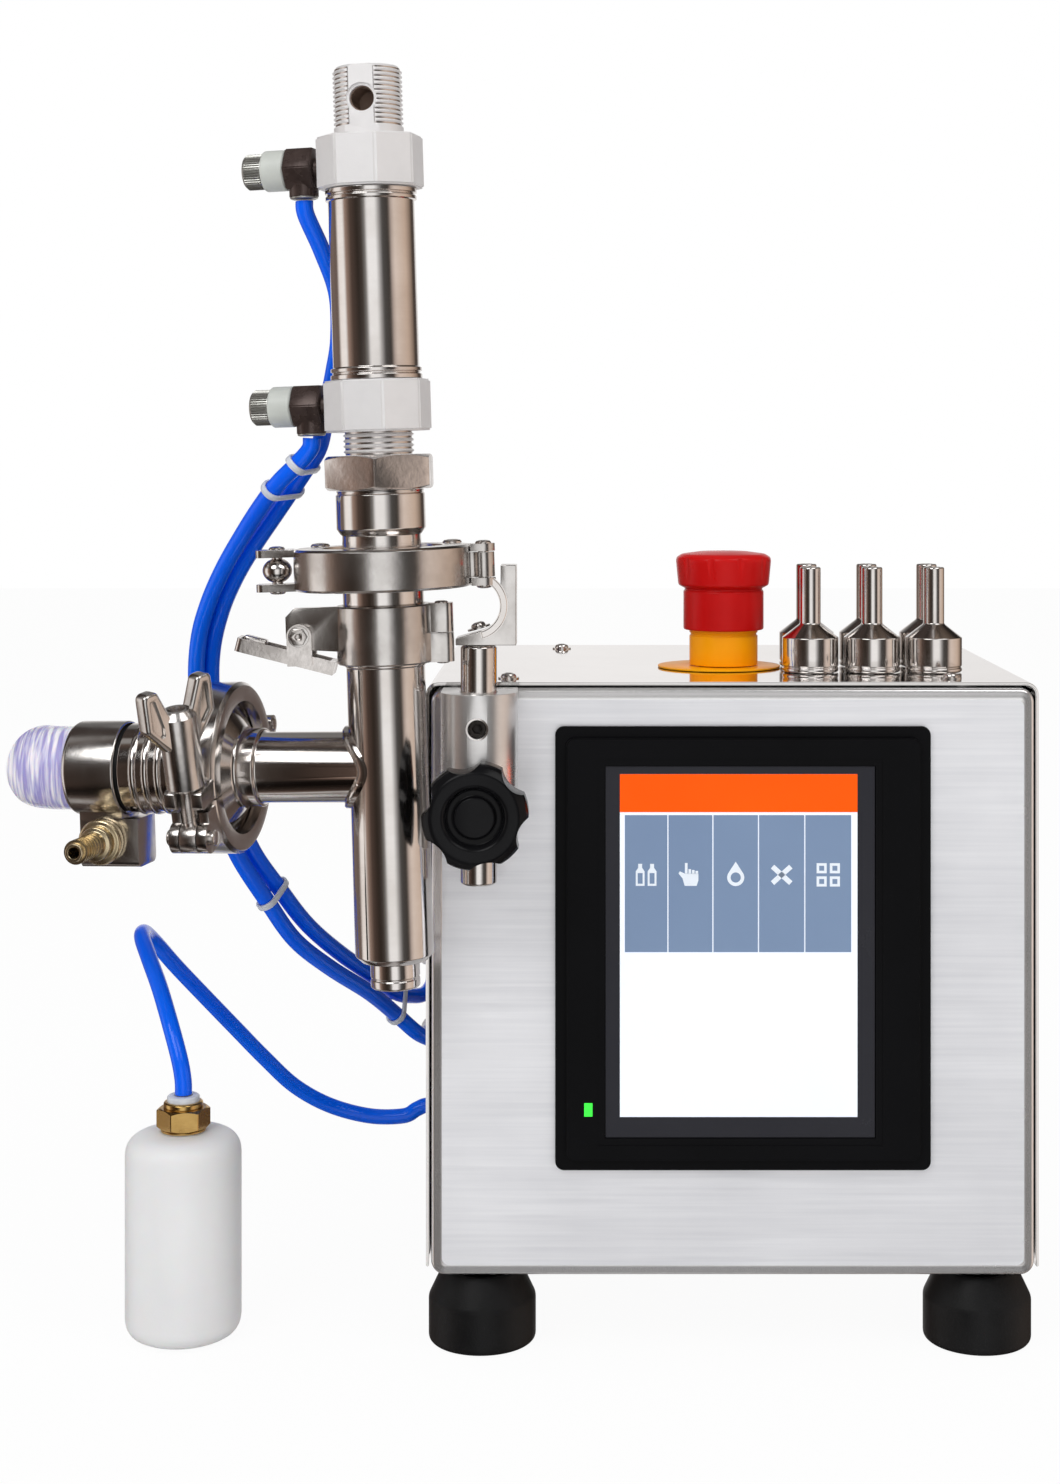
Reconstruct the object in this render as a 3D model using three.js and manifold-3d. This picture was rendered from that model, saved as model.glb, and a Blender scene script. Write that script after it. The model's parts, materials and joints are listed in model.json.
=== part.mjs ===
// Semi-automatic filling machine: a bench cabinet with a touch panel, and an air-driven
// filling valve that a post carries beside it. Millimetres, +Z up, -Y is the front.
import * as THREE from 'three';
import { mergeVertices } from 'three/addons/utils/BufferGeometryUtils.js';
import Module from 'manifold-3d';

const wasm = await Module();
wasm.setup();

// Clearances, overruns and facets shared by every piece
const gap = 0.3; // between pieces that touch
const runningGap = 0.35; // between a turned piece and the bore it slides or turns in
const overrun = 2; // how far a cutting tool passes a face
const roundSides = 28;
const smallSides = 16;
const tubeSides = 8;

// Where the machine stands: its box is centred on the origin
const machineShiftX = 28.84;
const machineShiftY = -68.97;

// Cabinet
const cabinetWidth = 281;
const cabinetDepth = 210;
const cabinetHeight = 271;
const cabinetCentreX = 67.1;
const cabinetLift = 37; // floor to the cabinet's underside
const cabinetLeft = cabinetCentreX - cabinetWidth / 2;
const cabinetRight = cabinetCentreX + cabinetWidth / 2;
const cabinetTop = cabinetLift + cabinetHeight;
const sheet = 2;
const coverInset = 2.5; // the front tray is this much smaller than the cover, each side
const coverSetback = 3.5; // cover edge behind the front face
const coverLift = 3;
const trayFlange = 16;
const trayCornerRadius = 6.5;
const coverCornerRadius = 6;
const trayBend = 4;

// Rubber feet
const footRadius = 25;
const footSideHeight = 20.5;
const footTopRadius = 18.5;
const footShoulderHeight = 34;
const footStemRadius = 9.5;
const footInset = 25;
const footBottomRadius = 23.5;
const footBottomBevel = 1.5;

// Touch panel, upright
const panelWidth = 171;
const panelHeight = 202;
const panelSideShare = 0.2515; // of the front left free beside the panel, on its left
const panelRiseShare = 0.716; // of the front that the panel leaves free, below it
const panelBottom = cabinetLift + panelRiseShare * (cabinetHeight - panelHeight);
const panelThickness = 7;
const panelRim = 5;
const panelRimThickness = 3.4;
const panelCorner = 4;
const displayWidth = 122.8;
const displayHeight = 169;
const displayRise = 15.6; // above the bezel's lower edge
const displayShiftX = -1.5;
const displayRecess = 0.9;
const displayThickness = 4;
const panelCaseMargin = 9;
const panelCaseDepth = 42;

// Emergency stop
const stopX = 67.5;
const stopY = 79;
const legendRadius = 30;
const legendShift = 2.3; // to the left, clear of the nozzles
const legendThickness = 0.8;
const stopThreadRadius = 11;
const stopThreadLength = 24;
const stopCollarRadius = 16.7;
const stopCollarHeight = 24;
const stopSkirtRise = 18.6; // bottom of the red skirt above the cabinet
const stopSkirtRadius = 19.65;
const stopHeadRise = 39.8;
const stopHeadRadius = 23.4;
const stopHeadFlare = 1.4;
const stopHeadTop = 57;
const stopHeadDome = 3.2;
const stopBoreGap = 0.8;
const stopBoreRise = 31;
const stopGripCount = 10;
const stopGripRadius = 3.2;
const stopGripDepth = 0.9;
const stopStemRadius = 5.5;
const stopTravelRoom = 5.5;
const contactBlockWidth = 28;
const contactBlockHeight = 32;

// Filling nozzles kept on the cabinet's top
const nozzlePitch = 29.6;
const nozzleFirstX = 107.6;
const nozzleFrontY = 53.3;
const nozzleRowPitch = 32;
const nozzleRearShift = 1.2; // sideways, the rear row from the front one
const nozzleColumns = 3;
const nozzleRows = 2;
const nozzleBodyRadius = 13.45;
const nozzleBodyHeight = 16.4;
const nozzleConeHeight = 6.6;
const nozzleNeckRadius = 5;
const nozzleHeight = 50;
const nozzleBoreRadius = 3;
const nozzleSocketRadius = 10.5;
const nozzleSocketDepth = 13;

// Air valve and inlets in the cabinet
const portRadius = 6;
const portHoleGap = 0.5;
const portReach = 8; // outside the cabinet's left wall
const portElbowLength = 11;
const frontPortInset = 44; // from the cabinet's rear edge
const upperPortInset = 32;
const lowerPortInset = 26;
const frontPortY = cabinetDepth - frontPortInset;
const frontPortZ = 108;
const upperPortY = cabinetDepth - upperPortInset;
const upperPortZ = 152;
const lowerPortY = cabinetDepth - lowerPortInset;
const lowerPortZ = 63;
const valveBlockWidth = 34;
const valveBlockMargin = 14;
const powerInletWidth = 28;
const powerInletHeight = 22;
const powerInletLip = 4;
const powerInletInset = 57.6; // from the cabinet's right wall
const powerInletX = cabinetRight - powerInletInset;
const powerInletZ = 80;
const powerInletDepth = 24;
const powerInletPocket = 16;
const powerInletPocketMargin = 3;
const airInletInset = 117.6; // from the cabinet's right wall
const airInletX = cabinetRight - airInletInset;
const airInletZ = 80;
const airInletRadius = 8;
const airInletReach = 12;
const airInletBore = 4;
const airInletNutRadius = 11;
const airInletNutThickness = 5;

// Post, its holder and the star knob that clamps it
const postInset = 25.4; // from the cabinet's left wall
const postX = cabinetLeft + postInset;
const postY = -20;
const postRadius = 8.2;
const postLength = 107;
const postRise = 19; // above the cabinet's top
const postTop = cabinetTop + postRise;
const postBottom = postTop - postLength;
const holderInset = 8.4; // from the cabinet's left wall
const holderWidth = 34;
const holderLeft = cabinetLeft + holderInset;
const holderRight = holderLeft + holderWidth;
const panelCentreX = holderRight + panelWidth / 2
  + panelSideShare * (cabinetRight - holderRight - panelWidth);
const holderFront = -37;
const holderHeight = 70;
const holderDrop = 2; // below the cabinet's top
const holderTop = cabinetTop - holderDrop;
const holderBottom = holderTop - holderHeight;
const setScrewRadius = 4.3;
const setScrewDepth = 6;
const setScrewDrop = 15; // below the holder's top
const setScrewZ = holderTop - setScrewDrop;
const knobRise = 20; // above the holder's underside
const knobZ = holderBottom + knobRise;
const knobFront = -64;
const knobBack = -43;
const knobRadius = 23.3;
const knobWaistRadius = 19.6;
const knobLobes = 6;
const knobScoopRadius = 11;
const knobScoopDepth = 3.7;
const knobDishRadius = 13;
const knobDishDepth = 4;
const knobHubRadius = 8.8;
const knobHubRise = 2.4;
const knobNeckRadius = 10;
const studRadius = 3;
const knobTilt = 0.73; // radians
const knobSides = 42;

// Filling column: heights from the plane where the valve and the air cylinder are clamped
const columnReach = 42.6; // from the post
const columnX = postX - columnReach;
const columnY = -25;
const columnRise = 54; // above the cabinet's top
const columnZ = cabinetTop + columnRise;
const columnLean = 1.8 * Math.PI / 180;
const flangeRadius = 32;
const flangeThickness = 2.9;
const sealThickness = 1.4;
const sealBore = 15;
const neckRadius = 18.1;
const tubeRadius = 17.5;
const tubeBore = 15;
const shoulderDepth = 175;
const shoulderWall = 3;
const shoulderRounding = 2.5;
const neckLength = 20;
const outletDepth = 187;
const outletRadius = 11;
const outletBore = 8;
const bonnetNeckRadius = 17.6;
const bonnetNeckTop = 14.8;
const bonnetConeTop = 17.3;
const bonnetRadius = 19.9;
const bonnetTop = 34.4;
const threadBottom = 23;
const threadRadius = 15.6;
const nutBottom = 34.7;
const nutTop = 50;
const nutAcrossFlats = 46;
const lowerCapBottom = 60.5;
const lowerCapTop = 83.4;
const capAcrossFlats = 44.6;
const barrelRadius = 19.2;
const barrelBore = 17;
const barrelRimRadius = 20.4;
const barrelRimHeight = 3.4;
const upperCapBottom = 168.5;
const upperCapTop = 191.7;
const bossRadius = 15.5;
const bossFlat = 13.4;
const bossTop = 222.5;
const bossHoleRadius = 6.2;
const bossHoleHeight = 207.4;
const bossHoleBack = 6; // the hole is blind and ends this far behind the axis
const bossTurn = 8 * Math.PI / 180;
const pistonBottom = 86;
const pistonThickness = 12;
const pistonSocket = 5;
const pistonGap = 0.35;
const rodRadius = 5;
const plugRadius = 12;
const plugHeight = 11;
const plugNoseRadius = 7.3;
const plugNoseHeight = 6;

// Speed controls screwed into the cylinder's caps, each with its tube elbow
const upperControlHeight = 179;
const lowerControlHeight = 72.9;
const controlHexRadius = 10.4;
const controlHexEnd = 38; // distances from the column's axis
const controlHexStart = 25;
const controlNeckRadius = 5;
const controlCollarRadius = 9.2;
const controlCollarEnd = 49;
const controlKnobRadius = 8;
const controlKnobEnd = 58;
const elbowRadius = 6.6;
const elbowOffset = 31.2;
const elbowDrop = 13.5;

// Clamps
const clampRadius = 39.4;
const clampHeight = 18.6;
const clampBore = 27;
const clampGrooveRadius = 32.6;
const clampGrooveHeight = 8;
const forkThickness = 3.4;
const forkReach = 56;
const forkWidth = 13;
const forkRoot = 36;
const forkPinOffset = 46.9;
const forkBallRadius = 5.6;
const forkBallWidth = 6.6; // half of it, across the pin
const hingePinOffset = 45.1;
const hingeLobeRadius = 5.2;
const hingeRollerRadius = 4.9;
const splitGap = 0.8;
const bandTop = -16.5;
const bandBottom = -42.6;
const bandRadius = 21.4;
const knuckleRadius = 5.2;
const knuckleOffset = 25.6;
const latchPlateRoot = 18.6;
const latchPlateFront = -8;
const latchPlateThickness = 3;
const latchPlateBottom = -36.5;
const latchPinOffset = 37;
const latchPinHeight = -29;
const latchLobeRadius = 6;
const latchCorner = 4; // cut off the plate's upper corner
const leverLength = 45;
const leverHalfWidth = 8;
const leverThickness = 6;
const leverTilt = 16 * Math.PI / 180;
const leverNearOffset = 22.3; // from the column's axis
const leverNearHeight = -44;
const leverEarRadius = 5.4;
const leverEarThickness = 3;

// Bracket between the post and the valve clamp
const bracketReach = 17; // right of the post
const bracketRight = postX + bracketReach;
const bracketHeight = 36; // above the post's top
const bracketTop = postTop + bracketHeight;
const bracketDepth = 14;
const bracketFootReach = 10; // left of the post
const bracketFootLeft = postX - bracketFootReach;
const bracketFootHeight = 6;
const bracketArchRadius = 12;
const bracketArchOffset = 2; // left of the post
const bracketArchX = postX - bracketArchOffset;
const bracketArchRise = 18; // above the post's top
const bracketArchZ = postTop + bracketArchRise;
const bracketPlate = 7;
const bracketHookDrop = 9;

// Branch pipe to the product hose: distances along it from the column's axis
const branchHeight = -89;
const branchYaw = 12 * Math.PI / 180;
const branchRadius = 15.85;
const branchBore = 13.5;
const branchCollarStart = 58;
const branchCollarRadius = 17.6;
const branchJoint = 77;
const branchConeLength = 5;
const pipeClampRadius = 38.5;
const pipeClampHeight = 18;
const pipeClampBore = 29.8;
const pipeClampRoll = 14 * Math.PI / 180;
const lugReach = 52;
const lugHeight = 9;
const lugWidth = 17;
const lugSlot = 7.8;
const lugRoot = 35;
const boltOffset = 46.5;
const boltRadius = 3.3;
const boltPivotDrop = 14;
const boltEyeRadius = 6.8;
const boltLength = 56;
const pinRadius = 3;
const pinHead = 3;
const wingBarrelRadius = 8.4;
const wingBarrelLength = 36;
const wingRoot = 16; // below the barrel's top
const wingRise = 12;
const wingReach = 18.5;
const wingThickness = 6.4;
const wingTurn = 60 * Math.PI / 180;
const rearHingeOffset = 42.5;
const rearHingeRadius = 4.4;
const ferruleEnd = 122.5;
const ferruleRadius = 20.2;
const ferruleRibRadius = 21.2;
const ferruleRibStart = 92;
const ferruleRibPitch = 6;
const ferruleRibCount = 4;
const collarEnd = 148;
const collarRadius = 21.3;
const collarRoundoff = 2;
const drainStart = 116;
const drainEnd = 144;
const drainDrop = 44;
const drainHalfDepth = 10;
const drainStep = 22;
const drainInset = 2;
const drainPortDrop = 32;
const drainPortBore = 5;
const barbFlangeRadius = 10.4;
const barbFlangeThickness = 4;
const barbStepRadius = 7.6;
const barbStepLength = 5;
const barbRadius = 6;
const barbTipRadius = 4.6;
const barbLength = 31;
const barbBore = 2.6;
const hoseRadius = 19;
const hoseBore = 15;
const hoseStraight = 6.2;
const hoseBendRadius = 22;
const hoseBend = 39 * Math.PI / 180;

// Exhaust bottle and its fitting
const bottleX = -188.8;
const bottleY = 29;
const bottleRadius = 27;
const bottleHeight = 95;
const bottleRounding = 9;
const bottleNeckRadius = 9.5;
const bottleNeckRise = 1.2;
const fittingHex = 22;
const fittingHexHeight = 11;
const fittingRingRadius = 9.2;
const fittingRingHeight = 4.6;

// Air tubes
const airTubeRadius = 4;

const hexSides = 6;
const octagonSides = 8;

// Materials
function finish(color, roughness, metalness) {
  return new THREE.MeshStandardMaterial({ color, roughness, metalness });
}
const brushedSteel = finish('#d7d8de', 0.42, 0.9);
const polishedSteel = finish('#c9c4c0', 0.16, 1);
const steel = finish('#b9b6b2', 0.3, 1);
const aluminium = finish('#d2cdcc', 0.5, 0.75);
const blackRubber = finish('#1b1b1c', 0.75, 0);
const blackPlastic = finish('#141416', 0.45, 0);
const displayGlass = finish('#22242a', 0.12, 0);
const redPlastic = finish('#c81a20', 0.4, 0);
const yellowPlastic = finish('#f6a100', 0.45, 0);
const greyPlastic = finish('#c8cbc6', 0.5, 0);
const darkBronze = finish('#3c302b', 0.4, 0.6);
const brass = finish('#be9648', 0.3, 0.95);
const blueTube = finish('#0a5cf0', 0.3, 0);
const clearHose = finish('#cfcbe6', 0.25, 0);
const whitePlastic = finish('#f3f3f3', 0.5, 0);
const whiteSeal = finish('#e9e9e4', 0.6, 0);

// A closed geometry as a solid that can be cut and joined
function solidOf(geometry) {
  const bare = geometry.clone();
  bare.deleteAttribute('normal');
  bare.deleteAttribute('uv');
  const merged = mergeVertices(bare);
  return new wasm.Manifold(new wasm.Mesh({
    numProp: 3,
    vertProperties: new Float32Array(merged.attributes.position.array),
    triVerts: new Uint32Array(merged.index.array),
  }));
}

function asSolid(shape) {
  return shape.isBufferGeometry ? solidOf(shape) : shape;
}

function join(...shapes) {
  return shapes.map(asSolid).reduce((whole, next) => whole.add(next));
}

function cut(shape, ...tools) {
  return tools.map(asSolid).reduce((whole, tool) => whole.subtract(tool), asSolid(shape));
}

function common(a, b) {
  return asSolid(a).intersect(asSolid(b));
}

function geometryOf(solid) {
  const mesh = solid.getMesh();
  const geometry = new THREE.BufferGeometry();
  geometry.setAttribute('position', new THREE.BufferAttribute(mesh.vertProperties, 3));
  geometry.setIndex(new THREE.BufferAttribute(mesh.triVerts, 1));
  const facets = geometry.toNonIndexed();
  facets.computeVertexNormals();
  return facets;
}

// A named mesh in a group
function piece(group, name, shape, material) {
  const geometry = shape.isBufferGeometry ? shape : geometryOf(shape);
  const mesh = new THREE.Mesh(geometry, material);
  mesh.name = name;
  group.add(mesh);
  return mesh;
}

function block(x0, x1, y0, y1, z0, z1) {
  const geometry = new THREE.BoxGeometry(x1 - x0, y1 - y0, z1 - z0);
  return geometry.translate((x0 + x1) / 2, (y0 + y1) / 2, (z0 + z1) / 2);
}

// Turned about Z from a profile of [radius, z] that starts and ends on the axis, or closes on itself
function turned(profile, sides = roundSides) {
  const points = profile.map(([radius, z]) => new THREE.Vector2(radius, z));
  return new THREE.LatheGeometry(points, sides).rotateX(Math.PI / 2);
}

function rod(radius, z0, z1, sides = roundSides) {
  return turned([[0, z0], [radius, z0], [radius, z1], [0, z1]], sides);
}

function ring(outer, inner, z0, z1, sides = roundSides) {
  return turned([[inner, z0], [outer, z0], [outer, z1], [inner, z1], [inner, z0]], sides);
}

// A prism of an outline in XY, from z0 to z1
function prism(shape, z0, z1) {
  const geometry = new THREE.ExtrudeGeometry(shape, { depth: z1 - z0, bevelEnabled: false });
  return geometry.translate(0, 0, z0);
}

function roundedRectangle(width, height, radius) {
  const shape = new THREE.Shape();
  const x = width / 2 - radius;
  const y = height / 2 - radius;
  shape.absarc(x, y, radius, 0, Math.PI / 2);
  shape.absarc(-x, y, radius, Math.PI / 2, Math.PI);
  shape.absarc(-x, -y, radius, Math.PI, 1.5 * Math.PI);
  shape.absarc(x, -y, radius, 1.5 * Math.PI, 2 * Math.PI);
  return shape;
}

// Corners of a regular polygon with a flat towards -Y, given its width across flats
function polygon(sides, acrossFlats) {
  const radius = acrossFlats / 2 / Math.cos(Math.PI / sides);
  const corners = Array.from({ length: sides }, (_, i) => {
    const angle = (2 * Math.PI * (i + 0.5)) / sides - Math.PI / 2;
    return new THREE.Vector2(radius * Math.cos(angle), radius * Math.sin(angle));
  });
  return new THREE.Shape(corners);
}

// Turns a shape built along Z so that it runs along -Y, standing up in the XZ plane
function facingFront(geometry) {
  return geometry.rotateX(Math.PI / 2);
}

// Turns a shape built along Z so that it runs along -X
function facingLeft(geometry) {
  return geometry.rotateY(-Math.PI / 2);
}

const machine = new THREE.Group();
machine.position.set(machineShiftX, machineShiftY, 0);

function trayShell() {
  const width = cabinetWidth - 2 * coverInset;
  const height = cabinetHeight - coverInset;
  const middle = cabinetLift + height / 2;
  const rounded = (inset, front, depth, bend) => {
    const outline = roundedRectangle(
      width - 2 * inset - 2 * bend, height - 2 * inset - 2 * bend,
      trayCornerRadius - inset - bend);
    const shell = new THREE.ExtrudeGeometry(outline, {
      depth: depth - 2 * bend, bevelSize: bend, bevelThickness: bend, bevelSegments: 3,
      curveSegments: 4,
    });
    return facingFront(shell.translate(0, 0, bend - front - depth)).translate(cabinetCentreX, 0, middle);
  };
  const outer = rounded(0, 0, trayFlange + 2 * trayBend, trayBend);
  const inner = rounded(sheet, sheet, trayFlange + 2 * trayBend + overrun, trayBend - sheet);
  const behind = block(
    cabinetLeft - overrun, cabinetRight + overrun, trayFlange,
    trayFlange + 4 * trayBend + overrun, 0, cabinetTop + overrun);
  return cut(outer, inner, behind);
}

// Lines to the cylinder's lower and upper cap, and the exhaust line to the bottle
const portPlaces = [[frontPortY, frontPortZ], [upperPortY, upperPortZ], [lowerPortY, lowerPortZ]];

function panelOpening(y0, y1, margin) {
  const halfWidth = panelWidth / 2 - margin;
  return block(
    panelCentreX - halfWidth, panelCentreX + halfWidth, y0, y1,
    panelBottom + margin, panelBottom + panelHeight - margin);
}

function buildCabinet() {
  const trayLeft = cabinetLeft + coverInset;
  const trayRight = cabinetRight - coverInset;
  const floorPlate = block(
    trayLeft, trayRight, trayFlange - overrun, cabinetDepth - sheet - gap,
    cabinetLift, cabinetLift + sheet);
  const backPlate = block(
    trayLeft, trayRight, cabinetDepth - 2 * sheet - gap, cabinetDepth - sheet - gap,
    cabinetLift, cabinetTop - sheet - coverInset);
  const powerHole = block(
    powerInletX - powerInletWidth / 2 - gap, powerInletX + powerInletWidth / 2 + gap,
    cabinetDepth - 2 * sheet - overrun, cabinetDepth + overrun,
    powerInletZ - powerInletHeight / 2 - gap, powerInletZ + powerInletHeight / 2 + gap);
  const airHole = facingFront(rod(airInletRadius + gap, -overrun, 3 * sheet + overrun, smallSides))
    .translate(airInletX, cabinetDepth + overrun, airInletZ);
  const chassis = cut(
    join(trayShell(), floorPlate, backPlate),
    panelOpening(-overrun, sheet + overrun, panelCaseMargin - gap), powerHole, airHole);
  piece(machine, 'chassis', chassis, brushedSteel);

  const hood = (inset, y0, y1, bottom) => {
    const radius = coverCornerRadius - inset;
    const side = cabinetWidth / 2 - inset;
    const top = cabinetTop - inset;
    const outline = new THREE.Shape();
    outline.moveTo(-side, bottom);
    outline.lineTo(side, bottom);
    outline.lineTo(side, top - radius);
    outline.absarc(side - radius, top - radius, radius, 0, Math.PI / 2);
    outline.absarc(radius - side, top - radius, radius, Math.PI / 2, Math.PI);
    return facingFront(prism(outline, -y1, -y0)).translate(cabinetCentreX, 0, 0);
  };
  const coverOuter = hood(0, coverSetback, cabinetDepth, cabinetLift + coverLift);
  const coverInner = hood(sheet, 0, cabinetDepth + overrun, 0);
  const stopHole = rod(stopThreadRadius + gap, cabinetTop - sheet - overrun, cabinetTop + overrun,
    smallSides).translate(stopX, stopY, 0);
  const portHoles = portPlaces.map(([y, z]) => (
    facingLeft(rod(portRadius + portHoleGap, -sheet - overrun, overrun, smallSides))
      .translate(cabinetLeft, y, z)));
  piece(machine, 'cover', cut(coverOuter, coverInner, stopHole, ...portHoles), brushedSteel);
}

function buildFeet() {
  const profile = [
    [0, 0], [footBottomRadius, 0], [footRadius, footBottomBevel], [footRadius, footSideHeight],
    [footTopRadius, footShoulderHeight], [footStemRadius, footShoulderHeight],
    [footStemRadius, cabinetLift - gap], [0, cabinetLift - gap],
  ];
  const columns = { left: cabinetLeft + footInset, right: cabinetRight - footInset };
  const rows = { front: footInset, rear: cabinetDepth - footInset };
  for (const [side, x] of Object.entries(columns)) {
    for (const [end, y] of Object.entries(rows)) {
      piece(machine, `foot_${end}_${side}`, turned(profile).translate(x, y, 0), blackRubber);
    }
  }
}

function buildPanel() {
  const middle = panelBottom + panelHeight / 2;
  const plate = (inset, y0, y1) => {
    const outline = roundedRectangle(panelWidth - 2 * inset, panelHeight - 2 * inset, panelCorner);
    const geometry = new THREE.ExtrudeGeometry(outline, {
      depth: y1 - y0, bevelEnabled: false, curveSegments: 4,
    });
    return facingFront(geometry.translate(0, 0, -y1)).translate(panelCentreX, 0, middle);
  };
  const displayX = panelCentreX + displayShiftX;
  const displayBottom = panelBottom + displayRise;
  const window = block(
    displayX - displayWidth / 2, displayX + displayWidth / 2, -panelThickness - overrun, overrun,
    displayBottom, displayBottom + displayHeight);
  const bezel = cut(
    join(plate(0, -panelRimThickness, -gap), plate(panelRim, -panelThickness, -panelRimThickness / 2)),
    window);
  piece(machine, 'panel_bezel', bezel, blackPlastic);
  const front = -panelThickness + displayRecess;
  piece(machine, 'panel_display', block(
    displayX - displayWidth / 2 + gap, displayX + displayWidth / 2 - gap,
    front, front + displayThickness,
    displayBottom + gap, displayBottom + displayHeight - gap), displayGlass);
  piece(machine, 'panel_case', panelOpening(0, panelCaseDepth, panelCaseMargin), blackPlastic);
}

function buildEmergencyStop() {
  const place = (shape) => shape.translate(stopX, stopY, cabinetTop);
  const plate = rod(legendRadius, gap, gap + legendThickness).translate(-legendShift, 0, 0);
  const plateHole = rod(stopThreadRadius + gap, gap - overrun, gap + legendThickness + overrun);
  piece(machine, 'estop_legend_plate', place(geometryOf(cut(plate, plateHole))), yellowPlastic);
  const seat = gap + legendThickness + gap;
  const bore = stopStemRadius + runningGap;
  piece(machine, 'estop_collar', place(turned([
    [bore, -stopThreadLength], [stopThreadRadius, -stopThreadLength], [stopThreadRadius, seat],
    [stopCollarRadius, seat], [stopCollarRadius, stopCollarHeight], [bore, stopCollarHeight],
    [bore, -stopThreadLength],
  ])), yellowPlastic);
  const half = contactBlockWidth / 2;
  const blockTop = -stopThreadLength - gap;
  piece(machine, 'estop_contact_block', place(block(
    -half, half, -half, half, blockTop - contactBlockHeight, blockTop)), greyPlastic);
  piece(machine, 'estop_stem', place(rod(
    stopStemRadius, stopTravelRoom - stopThreadLength, stopBoreRise - gap, smallSides)), steel);
  const skirtBore = stopCollarRadius + stopBoreGap;
  const head = turned([
    [skirtBore, stopSkirtRise], [stopSkirtRadius, stopSkirtRise], [stopSkirtRadius, stopHeadRise],
    [stopHeadRadius - stopHeadFlare, stopHeadRise], [stopHeadRadius, stopHeadTop - stopHeadDome],
    [stopHeadRadius - stopHeadDome, stopHeadTop - stopHeadDome / 4], [0, stopHeadTop],
    [0, stopBoreRise], [skirtBore, stopBoreRise], [skirtBore, stopSkirtRise],
  ]);
  const grips = Array.from({ length: stopGripCount }, (_, i) => (
    rod(stopGripRadius, stopHeadRise - overrun, stopHeadTop + overrun, octagonSides)
      .translate(stopHeadRadius + stopGripRadius - stopGripDepth, 0, 0)
      .rotateZ((2 * Math.PI * i) / stopGripCount)));
  const cap = cut(head, ...grips);
  piece(machine, 'estop_cap', geometryOf(cap).translate(stopX, stopY, cabinetTop), redPlastic);
}

function buildNozzles() {
  const seat = cabinetTop + gap;
  const shoulder = nozzleBodyHeight + nozzleConeHeight;
  const profile = [
    [nozzleSocketRadius, 0], [nozzleBodyRadius, 0], [nozzleBodyRadius, nozzleBodyHeight],
    [nozzleNeckRadius, shoulder], [nozzleNeckRadius, nozzleHeight],
    [nozzleBoreRadius, nozzleHeight], [nozzleBoreRadius, nozzleSocketDepth],
    [nozzleSocketRadius, nozzleSocketDepth], [nozzleSocketRadius, 0],
  ];
  for (let row = 0; row < nozzleRows; row += 1) {
    for (let column = 0; column < nozzleColumns; column += 1) {
      const number = row * nozzleColumns + column + 1;
      const geometry = turned(profile, smallSides + tubeSides).translate(
        nozzleFirstX + column * nozzlePitch + row * nozzleRearShift,
        nozzleFrontY + row * nozzleRowPitch, seat);
      piece(machine, `nozzle_${number}`, geometry, polishedSteel);
    }
  }
}

function buildServices() {
  const inner = cabinetLeft + sheet + overrun;
  const body = block(
    inner, inner + valveBlockWidth, frontPortY - valveBlockMargin, lowerPortY + valveBlockMargin,
    lowerPortZ - valveBlockMargin, upperPortZ + valveBlockMargin);
  const ports = portPlaces.map(([y, z]) => facingLeft(rod(
    portRadius, -sheet - 2 * overrun, portReach, smallSides)).translate(cabinetLeft, y, z));
  const elbowX = cabinetLeft - portReach;
  const frontElbow = facingFront(rod(portRadius, -portRadius, portElbowLength, smallSides))
    .translate(elbowX, frontPortY, frontPortZ);
  const upperElbow = rod(portRadius, -portElbowLength, portRadius, smallSides)
    .translate(elbowX, upperPortY, upperPortZ);
  piece(machine, 'air_valve', join(body, ...ports, frontElbow, upperElbow), aluminium);

  const backY = cabinetDepth - sheet;
  const halfWidth = powerInletWidth / 2;
  const halfHeight = powerInletHeight / 2;
  const shell = block(
    powerInletX - halfWidth, powerInletX + halfWidth, backY - powerInletDepth, backY,
    powerInletZ - halfHeight, powerInletZ + halfHeight);
  const lip = block(
    powerInletX - halfWidth - powerInletLip, powerInletX + halfWidth + powerInletLip,
    backY, backY + sheet,
    powerInletZ - halfHeight - powerInletLip, powerInletZ + halfHeight + powerInletLip);
  const pocket = block(
    powerInletX - halfWidth + powerInletPocketMargin, powerInletX + halfWidth - powerInletPocketMargin,
    backY - powerInletPocket, backY + sheet + overrun,
    powerInletZ - halfHeight + powerInletPocketMargin, powerInletZ + halfHeight - powerInletPocketMargin);
  piece(machine, 'power_inlet', cut(join(shell, lip), pocket), blackPlastic);

  const place = (shape) => facingFront(shape).translate(airInletX, backY, airInletZ);
  const bore = place(rod(airInletBore, -airInletReach - overrun, airInletReach + overrun, smallSides));
  const barrel = place(rod(airInletRadius, -airInletReach, airInletReach, smallSides));
  const nut = place(prism(polygon(hexSides, 2 * airInletNutRadius), -airInletNutThickness, 0));
  piece(machine, 'air_inlet', cut(join(barrel, nut), bore), brass);
}

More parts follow.
